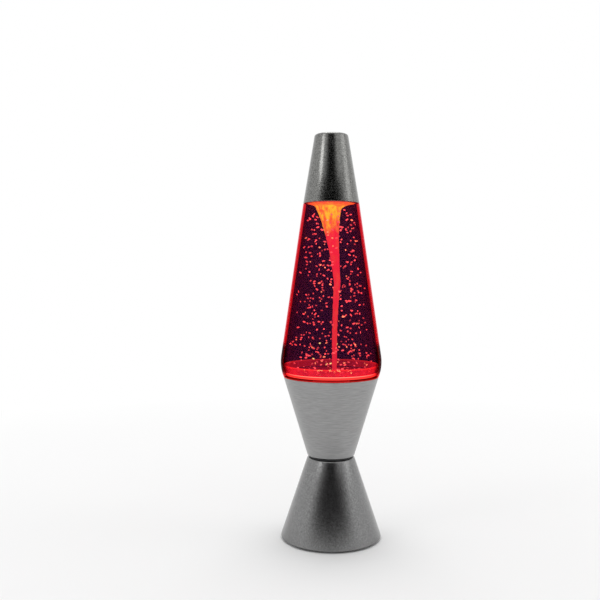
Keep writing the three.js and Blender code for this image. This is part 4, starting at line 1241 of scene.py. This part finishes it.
class AddFunnelSkin(LampOperator, bpy.types.Operator):
    """Turn the lit skin of bubbles and glitter that wraps the funnel"""

    bl_idname = "lamp.add_funnel_skin"
    bl_label = "Funnel Skin"

    def execute(self, context):
        sizes = settings("lamp_funnel")
        top = highest("liquid").z
        inset = sizes.skin_inset
        edge = bottle_side(top, liquid_inset()) - inset
        outline = [(edge, top - inset)]
        for height in funnel_heights():
            radius = funnel_radius(height) + inset
            if radius < edge:
                outline.append((radius, height - inset))
        outline.append((0.0, funnel_foot() - inset))
        bm = turned(outline)
        self.ruffle(bm, edge)
        bmesh.ops.recalc_face_normals(bm, faces=bm.faces)
        bmesh.ops.solidify(bm, geom=bm.faces, thickness=sizes.skin)
        bmesh.ops.recalc_face_normals(bm, faces=bm.faces)
        lean_over(bm, lambda co: True)
        piece("funnel_skin", bm, "bottle", "lit_floor", finish=funnel_finish())
        return {"FINISHED"}

    def ruffle(self, bm, edge):
        """Gives the skin small waves that turn about it, none at the lip's edge or the foot."""
        ragged = settings("lamp_funnel").ragged
        still_width, waves_across, waves_up, middle = 0.004, 260, 420, 1e-5
        for vert in bm.verts:
            radius = math.hypot(vert.co.x, vert.co.y)
            if radius < middle:
                continue
            free = min(1.0, (edge - radius) / still_width)
            sample = Vector((vert.co.x * waves_across, vert.co.y * waves_across, vert.co.z * waves_up))
            wave = abs(noise.noise(sample)) * ragged * free
            vert.co.x *= 1 + wave / radius
            vert.co.y *= 1 + wave / radius


class AddGlitter(LampOperator, bpy.types.Operator):
    """Scatter lit flakes through the liquid and over its floor"""

    bl_idname = "lamp.add_glitter"
    bl_label = "Glitter"

    def execute(self, context):
        sizes = settings("lamp_glitter")
        order = random.Random(sizes.seed)
        bm = bmesh.new()
        layer = bm.verts.layers.float_color.new("glow")
        for _ in range(sizes.count):
            height, spread = self.spot(order)
            self.add_flake(bm, layer, order, height, spread, settled=False)
        floor, least_rise, most_rise = highest("bottle_floor").z, 0.0006, 0.0012
        for _ in range(sizes.settled):
            height = floor + order.uniform(least_rise, most_rise)
            self.add_flake(bm, layer, order, height, order.random(), settled=True)
        piece("glitter", bm, "bottle", "lit_floor", finish=glitter_finish())
        return {"FINISHED"}

    def spot(self, order):
        """A height, denser downwards, and a share of the way from the funnel to the wall."""
        shell = settings("lamp_glitter").shell
        over_floor, under_top, downwards = 0.003, 0.007, 1.25
        low = highest("bottle_floor").z + over_floor
        high = highest("liquid").z - under_top
        height = low + (high - low) * order.random() ** downwards
        return height, shell + (1 - shell) * order.random()

    def add_flake(self, bm, layer, order, height, spread, settled):
        """One thin six-sided flake, near upright in the liquid or near flat on the floor."""
        sizes = settings("lamp_glitter")
        tilt_spread, lie_spread = math.radians(24), math.radians(18)
        yaw_spread, flat_spread = 0.7, 0.15
        turn = order.uniform(0, 2 * math.pi)
        outward = Vector((math.cos(turn), math.sin(turn), 0.0))
        lean = Vector((funnel_lean(height), 0.0, 0.0))
        near = outward * (funnel_radius(height) + sizes.stem_gap) + lean
        far = outward * bottle_side(height, liquid_inset() + sizes.wall_gap)
        centre = near.lerp(far, spread)
        radius = centre.length
        centre.z = height
        long = order.uniform(sizes.length_least, sizes.length_most)
        tilt = order.gauss(0.0, tilt_spread)
        lie = order.gauss(0.0, lie_spread)
        if settled:
            pitch, roll = order.gauss(0.0, flat_spread), order.gauss(0.0, flat_spread)
            stand = Euler((pitch, roll, order.uniform(0, math.pi))).to_matrix().to_4x4()
        else:
            yaw = turn + math.pi / 2 + order.gauss(0.0, yaw_spread)
            stand = Matrix.Rotation(yaw, 4, "Z") @ Matrix.Rotation(math.pi / 2 + lie, 4, "X")
            stand = stand @ Matrix.Rotation(tilt, 4, "Z")
        stretch = Matrix.Diagonal((long / sizes.width, 1.0, 1.0, 1.0))
        verts = bmesh.ops.create_cone(
            bm, cap_ends=True, segments=6, radius1=sizes.width / 2, radius2=sizes.width / 2,
            depth=sizes.thickness, matrix=Matrix.Translation(centre) @ stand @ stretch,
        )["verts"]
        glow = self.glow(order, height, radius, settled)
        for vert in verts:
            vert[layer] = glow

    def glow(self, order, height, radius, settled):
        """Mostly red flakes, orange ones among them, and pale ones near the funnel's foot."""
        finishes = settings("lamp_finishes")
        foot_height, foot_reach, settled_reach = 0.035, 0.03, 0.012
        pale_by_foot, pale_settled, warm_anywhere, warm_by_foot = 0.3, 0.6, 0.1, 0.5
        dullest, brightest = 1.1, 2.3
        rise = height - highest("bottle_floor").z
        near_foot = max(0.0, 1 - rise / foot_height) * max(0.0, 1 - radius / foot_reach)
        pick = order.random()
        on_well = settled and radius < settled_reach
        if pick < pale_by_foot * near_foot or (on_well and pick < pale_settled):
            wanted = finishes.pale_spark
        elif pick < warm_anywhere + warm_by_foot * near_foot:
            wanted = finishes.warm_spark
        else:
            wanted = finishes.spark
        depth = bottle_side(height, 0.0) - radius
        return with_alpha(through_liquid(wanted, depth), order.uniform(dullest, brightest))


class AddFloorShine(LampOperator, bpy.types.Operator):
    """Turn the film of red light that the lit floor throws on the foot of the bottle's wall"""

    bl_idname = "lamp.add_floor_shine"
    bl_label = "Floor Shine"

    def execute(self, context):
        sizes = settings("lamp_funnel")
        wall_points = 8
        gap = liquid_inset() + sizes.skin_inset
        low = highest("bottle_floor").z + settings("lamp_base").clearance + sizes.skin_inset
        outer = side_points(low, low + sizes.shine_height, gap, wall_points)
        inner = [(radius - sizes.skin, height) for radius, height in reversed(outer)]
        bm = turned([*outer, *inner], closed=True)
        piece("floor_shine", bm, "bottle", "lit_floor", finish=shine_finish())
        return {"FINISHED"}


class AddStopper(LampOperator, bpy.types.Operator):
    """Turn the stopper and its seal in the neck"""

    bl_idname = "lamp.add_stopper"
    bl_label = "Stopper and Seal"

    def execute(self, context):
        shaft_gap, flange_round, shaft_round, seal_round = 0.0004, 0.0006, 0.0005, 0.0003
        bore = settings("lamp_bottle").neck_bore
        low, high = BOXES["stopper"]
        seal_low, seal_high = BOXES["stopper_seal"]
        shaft = bore - shaft_gap
        under = seal_high.z + settings("lamp_base").clearance
        bm = turned([
            (0.0, low.z),
            (shaft, low.z),
            (shaft, under),
            (high.x, under),
            (high.x, high.z),
            (0.0, high.z),
        ], [(high.x, high.z, flange_round), (shaft, low.z, shaft_round)])
        piece("neck_stopper", bm, "bottle", "white_plastic", ["stopper"])
        seal = turned(
            ring_outline(bore, seal_high.x, seal_low.z, seal_high.z),
            [(seal_high.x, seal_low.z, seal_round), (seal_high.x, seal_high.z, seal_round)], closed=True,
        )
        piece("neck_seal", seal, "bottle", "soft_rubber", ["stopper_seal"])
        return {"FINISHED"}


class AddCap(LampOperator, bpy.types.Operator):
    """Turn the metal cap and the collar that grips the neck inside it"""

    bl_idname = "lamp.add_cap"
    bl_label = "Cap"

    def execute(self, context):
        sizes = settings("lamp_bottle")
        clearance = settings("lamp_base").clearance
        top_round, edge_round, collar_round = 0.0018, 0.0003, 0.0004
        low, high = BOXES["cap"]
        top, edge, sheet = sizes.cap_top_radius, high.x, sizes.cap_sheet
        bm = turned([
            (0.0, high.z - sheet),
            (top - sheet, high.z - sheet),
            (edge - sheet, low.z),
            (edge, low.z),
            (top, high.z),
            (0.0, high.z),
        ], [
            (top, high.z, top_round),
            (edge, low.z, edge_round),
            (edge - sheet, low.z, edge_round),
        ], segments=6)
        piece("cap_shell", bm, "cap", "aluminium", ["cap"], solid_finish("cap metal"))
        low, high = BOXES["cap_collar"]
        side = straight_side("cap")
        inset = sheet + clearance
        bore = sizes.neck_radius + clearance
        collar = turned([
            (bore, low.z),
            (side(low.z) - inset, low.z),
            (side(high.z) - inset, high.z),
            (bore, high.z),
        ], [(bore, low.z, collar_round)], closed=True)
        piece("cap_grip", collar, "cap", "black_plastic", ["cap_collar"])
        return {"FINISHED"}


class AddRearInsert(LampOperator, bpy.types.Operator):
    """Cut the rear insert flush with the cone, with its recess, plate and openings"""

    bl_idname = "lamp.add_rear_insert"
    bl_label = "Rear Insert"

    def execute(self, context):
        base = settings("lamp_base")
        sizes = settings("lamp_insert")
        gap, far = base.clearance, base.base_radius
        low, high = BOXES["rear_insert"]
        bm = combine(self.slice(0.0, sizes.flange), self.slice(base.sheet + gap, 0.0), "UNION")
        inside = high.x - sizes.flange - sizes.wall
        bottom = low.z + sizes.flange + sizes.wall
        top = high.z - sizes.flange - sizes.wall
        recess = block_alone((-inside, sizes.plate_front, bottom), (inside, far, top))
        parallel = 0.99
        corners = [
            edge for edge in recess.edges
            if abs((edge.verts[0].co - edge.verts[1].co).normalized().y) > parallel
        ]
        round_edges(recess, corners, sizes.corner, 5)
        bm = combine(bm, recess, "DIFFERENCE")
        bm = cut_block(bm, (-inside, 0.0, bottom), (inside, sizes.plate_front - sizes.plate, top))
        low, high = BOXES["usb_shell"]
        bm = cut_block(bm, (low.x - gap, 0.0, low.z - gap), (high.x + gap, far, high.z + gap))
        bm = combine(bm, self.button_bore(), "DIFFERENCE")
        piece("insert_frame", bm, "base", "black_plastic", ["rear_insert"])
        return {"FINISHED"}

    def slice(self, inset, margin):
        """A block behind the cone's side, its rear face following the cone."""
        low, high = BOXES["rear_insert"]
        side = straight_side("lower_cone")
        overlap = 0.004
        bottom, top = low.z - overlap, high.z + overlap
        cone = turned([(0.0, bottom), (side(bottom) - inset, bottom), (side(top) - inset, top), (0.0, top)])
        solid = block_alone(
            (low.x + margin, low.y, low.z + margin),
            (high.x - margin, settings("lamp_base").base_radius, high.z - margin),
        )
        return combine(solid, cone, "INTERSECT")

    def button_bore(self):
        low, high = BOXES["power_button"]
        depth, behind = 0.04, 0.04
        radius = settings("lamp_insert").button_radius + settings("lamp_base").clearance
        centre = (low + high) / 2
        stand = Matrix.Translation((centre.x, behind, centre.z)) @ Matrix.Rotation(math.pi / 2, 4, "X")
        bm = bmesh.new()
        bmesh.ops.create_cone(
            bm, cap_ends=True, segments=64, radius1=radius, radius2=radius, depth=depth, matrix=stand,
        )
        return bm


class AddInlet(LampOperator, bpy.types.Operator):
    """Fold the power inlet's shell and set its tongue"""

    bl_idname = "lamp.add_inlet"
    bl_label = "Power Inlet"

    def execute(self, context):
        sheet = settings("lamp_insert").inlet_sheet
        cut_past, tongue_round, sharp = 0.001, 0.0001, math.radians(40.0)
        low, high = BOXES["usb_shell"]
        inner_low = Vector((low.x, low.y + sheet, low.z))
        inner_high = Vector((high.x, high.y + cut_past, high.z))
        inner = self.prism(inner_low, inner_high, sheet)
        bm = combine(self.prism(low, high, 0.0), inner, "DIFFERENCE")
        piece("inlet_shell", bm, "base", "steel", ["usb_shell"])
        tongue = block_alone(*BOXES["usb_tongue"])
        edges = [
            edge for edge in tongue.edges if edge.is_manifold and edge.calc_face_angle(0.0) > sharp
        ]
        round_edges(tongue, edges, tongue_round, 2)
        piece("inlet_tongue", tongue, "base", "black_plastic", ["usb_tongue"])
        return {"FINISHED"}

    def prism(self, low, high, inset):
        """A block with its two lower long edges slanted and the upper ones rounded."""
        upper_round, level_tolerance = 0.0005, 1e-5
        bottom, top = low.z + inset, high.z - inset
        bm = block_alone((low.x + inset, low.y, bottom), (high.x - inset, high.y, top))
        chamfer = settings("lamp_insert").inlet_chamfer
        for level, rounding, segments in ((bottom, chamfer, 1), (top, upper_round, 3)):
            edges = [
                edge for edge in bm.edges
                if abs(edge.verts[0].co.y - edge.verts[1].co.y) > (high.y - low.y) / 2
                and abs(edge.verts[0].co.z - level) < level_tolerance
            ]
            round_edges(bm, edges, rounding, segments)
        return bm


class AddButton(LampOperator, bpy.types.Operator):
    """Turn the push button with its dished face"""

    bl_idname = "lamp.add_button"
    bl_label = "Push Button"

    def execute(self, context):
        sizes = settings("lamp_insert")
        stem, stem_length, flange_thickness, face_width = 0.0016, 0.0012, 0.0012, 0.0009
        dish_waist, dish_depth_share, face_round, dish_round = 0.6, 0.8, 0.0006, 0.0003
        low, high = BOXES["power_button"]
        radius, face = sizes.button_radius, high.y
        flange = (high.x - low.x) / 2
        stem_end = low.y + stem_length
        flange_front = stem_end + flange_thickness
        dish = radius - face_width
        bm = turned([
            (0.0, low.y),
            (stem, low.y),
            (stem, stem_end),
            (flange, stem_end),
            (flange, flange_front),
            (radius, flange_front),
            (radius, face),
            (dish, face),
            (dish * dish_waist, face - sizes.button_dish * dish_depth_share),
            (0.0, face - sizes.button_dish),
        ], [(radius, face, face_round), (dish, face, dish_round)])
        upright = Matrix.Rotation(-math.pi / 2, 3, "X")
        bmesh.ops.rotate(bm, verts=bm.verts, cent=(0, 0, 0), matrix=upright)
        centre = (low + high) / 2
        bmesh.ops.translate(bm, verts=bm.verts, vec=(centre.x, 0.0, centre.z))
        piece("button_cap", bm, "power_button", "white_plastic", ["power_button"])
        return {"FINISHED"}


class FinishInnerPieces(LampOperator, bpy.types.Operator):
    """Give every piece that is kept from the construction model its finish"""

    bl_idname = "lamp.finish_inner_pieces"
    bl_label = "Inner Pieces"

    def execute(self, context):
        slots = {slot: solid_finish(name) for slot, name in SLOT_FINISHES.items()}
        slots["light"] = light_finish()
        in_well = ("impeller", "impeller_magnet_1", "impeller_magnet_2", "impeller_pin")
        well_glow = 0.75
        lit = floor_finish("lit impeller", well_glow)
        for row in frame["record"]["subparts"]:
            node = frame["nodes"][row["node"]]
            if node.hide_render:
                continue
            finish = lit if row["node"] in in_well else slots[row["material_slot"]]
            node.data.materials.clear()
            node.data.materials.append(finish)
        return {"FINISHED"}


class AddStage(LampOperator, bpy.types.Operator):
    """Set the camera, the pale floor, the lamps and the dark cards that metal mirrors"""

    bl_idname = "lamp.add_stage"
    bl_label = "Stage"

    def execute(self, context):
        context.scene.view_settings.view_transform = "Standard"
        self.add_camera(context.scene)
        self.add_floor()
        self.light_world(context.scene)
        self.add_lamps(context.scene)
        self.add_cards()
        return {"FINISHED"}

    def add_camera(self, scene):
        studio = settings("lamp_studio")
        data = bpy.data.cameras.new("camera")
        data.lens = studio.lens
        data.clip_start = 0.01
        camera = bpy.data.objects.new("camera", data)
        scene.collection.objects.link(camera)
        camera.location = (0.0, -studio.distance, studio.eye_height)
        camera.rotation_euler = (math.pi / 2 - studio.tilt, 0.0, studio.turn)
        scene.camera = camera

    def add_floor(self):
        bm = bmesh.new()
        radius = settings("lamp_studio").floor_radius
        bmesh.ops.create_circle(bm, cap_ends=True, segments=96, radius=radius)
        floor = as_object("floor", bm)
        floor.data.materials.append(pale_floor_finish())

    def light_world(self, scene):
        """Even light from all round, and white where the camera, metal or glass looks past the lamp."""
        studio = settings("lamp_studio")
        world = bpy.data.worlds.new("studio")
        scene.world = world
        world.use_nodes = True
        tree = world.node_tree
        tree.nodes.clear()
        path = place(tree, "ShaderNodeLightPath").outputs
        looks = maths(tree, "ADD", path["Is Camera Ray"], path["Is Glossy Ray"])
        looks = maths(tree, "ADD", looks, path["Is Transmission Ray"])
        strength = ranged(tree, looks, 0.0, 1.0, studio.ambient, studio.seen_white)
        light = shading(tree, "Background", {"Color": WHITE, "Strength": strength})
        place(tree, "ShaderNodeOutputWorld", {"Surface": light})

    def add_lamps(self, scene):
        """Two tall soft lamps beside the camera and one above."""
        # each lamp: turn from the front, lift, distance, width, height and power
        rows = (
            ("left_lamp", -56, 31, 2.0, 0.5, 0.4, 1.9),
            ("right_lamp", 84, 30, 2.0, 0.8, 1.0, 2.0),
            ("top_lamp", 180, 76, 1.9, 1.2, 1.0, 14.0),
        )
        target = Vector((0, 0, CAD_BOUNDS[1].z / 2))
        for name, turn, lift, distance, width, height, power in rows:
            data = bpy.data.lights.new(name, "AREA")
            data.shape = "RECTANGLE"
            data.size = width
            data.size_y = height
            data.energy = power
            lamp = bpy.data.objects.new(name, data)
            scene.collection.objects.link(lamp)
            away = direction(turn, lift)
            lamp.location = target + away * distance
            lamp.rotation_euler = away.to_track_quat("Z", "Y").to_euler()

    def add_cards(self):
        """Dark cards that only mirrored light meets, for the dark stripes down the metal."""
        # each card: lifts of its lower and upper edge, its half width, and where it starts to turn light
        self.add_card("lower_card", (3, 23.8), 62, 32)
        self.add_card("upper_card", (24.4, 46), 36, 15)

    def add_card(self, name, lifts, half, dark_half):
        distance, height_share = 2.2, 0.42
        bm = bmesh.new()
        low, high = (
            [bm.verts.new(direction(turn, lift) * distance) for turn in (-half, 0, half)]
            for lift in lifts
        )
        for index in range(2):
            bm.faces.new((low[index], low[index + 1], high[index + 1], high[index]))
        rise = Vector((0.0, 0.0, CAD_BOUNDS[1].z * height_share))
        bmesh.ops.translate(bm, verts=bm.verts, vec=rise)
        card = as_object(name, bm)
        card.data.materials.append(card_finish(name, dark_half, half))
        for flag in ("camera", "diffuse", "transmission", "shadow", "volume_scatter"):
            setattr(card, f"visible_{flag}", False)


class LampPanel(bpy.types.Panel):
    """Lists the lamp's operators"""

    bl_idname = "VIEW3D_PT_tornado_lamp"
    bl_label = "Tornado Lamp"
    bl_space_type = "VIEW_3D"
    bl_region_type = "UI"
    bl_category = "Tornado Lamp"

    def draw(self, context):
        for operator in OPERATORS:
            self.layout.operator(operator.bl_idname)


OPERATORS = (
    AddStage,
    AddLowerCone,
    AddUpperCup,
    AddWaistRing,
    AddFeet,
    AddBaseScrews,
    AddWindow,
    AddBottle,
    AddBottleFloor,
    AddLiquid,
    AddFunnelSkin,
    AddGlitter,
    AddFloorShine,
    AddStopper,
    AddCap,
    AddRearInsert,
    AddInlet,
    AddButton,
    FinishInnerPieces,
)


def register():
    for group in SETTINGS.values():
        bpy.utils.register_class(group)
    for name, group in SETTINGS.items():
        setattr(bpy.types.Scene, name, PointerProperty(type=group))
    for operator in OPERATORS:
        bpy.utils.register_class(operator)
    bpy.utils.register_class(LampPanel)


def unregister():
    bpy.utils.unregister_class(LampPanel)
    for operator in reversed(OPERATORS):
        bpy.utils.unregister_class(operator)
    for name, group in reversed(SETTINGS.items()):
        delattr(bpy.types.Scene, name)
        bpy.utils.unregister_class(group)


def main():
    register()
    for operator in OPERATORS:
        group, name = operator.bl_idname.split(".")
        getattr(getattr(bpy.ops, group), name)()


if __name__ == "__main__":
    main()
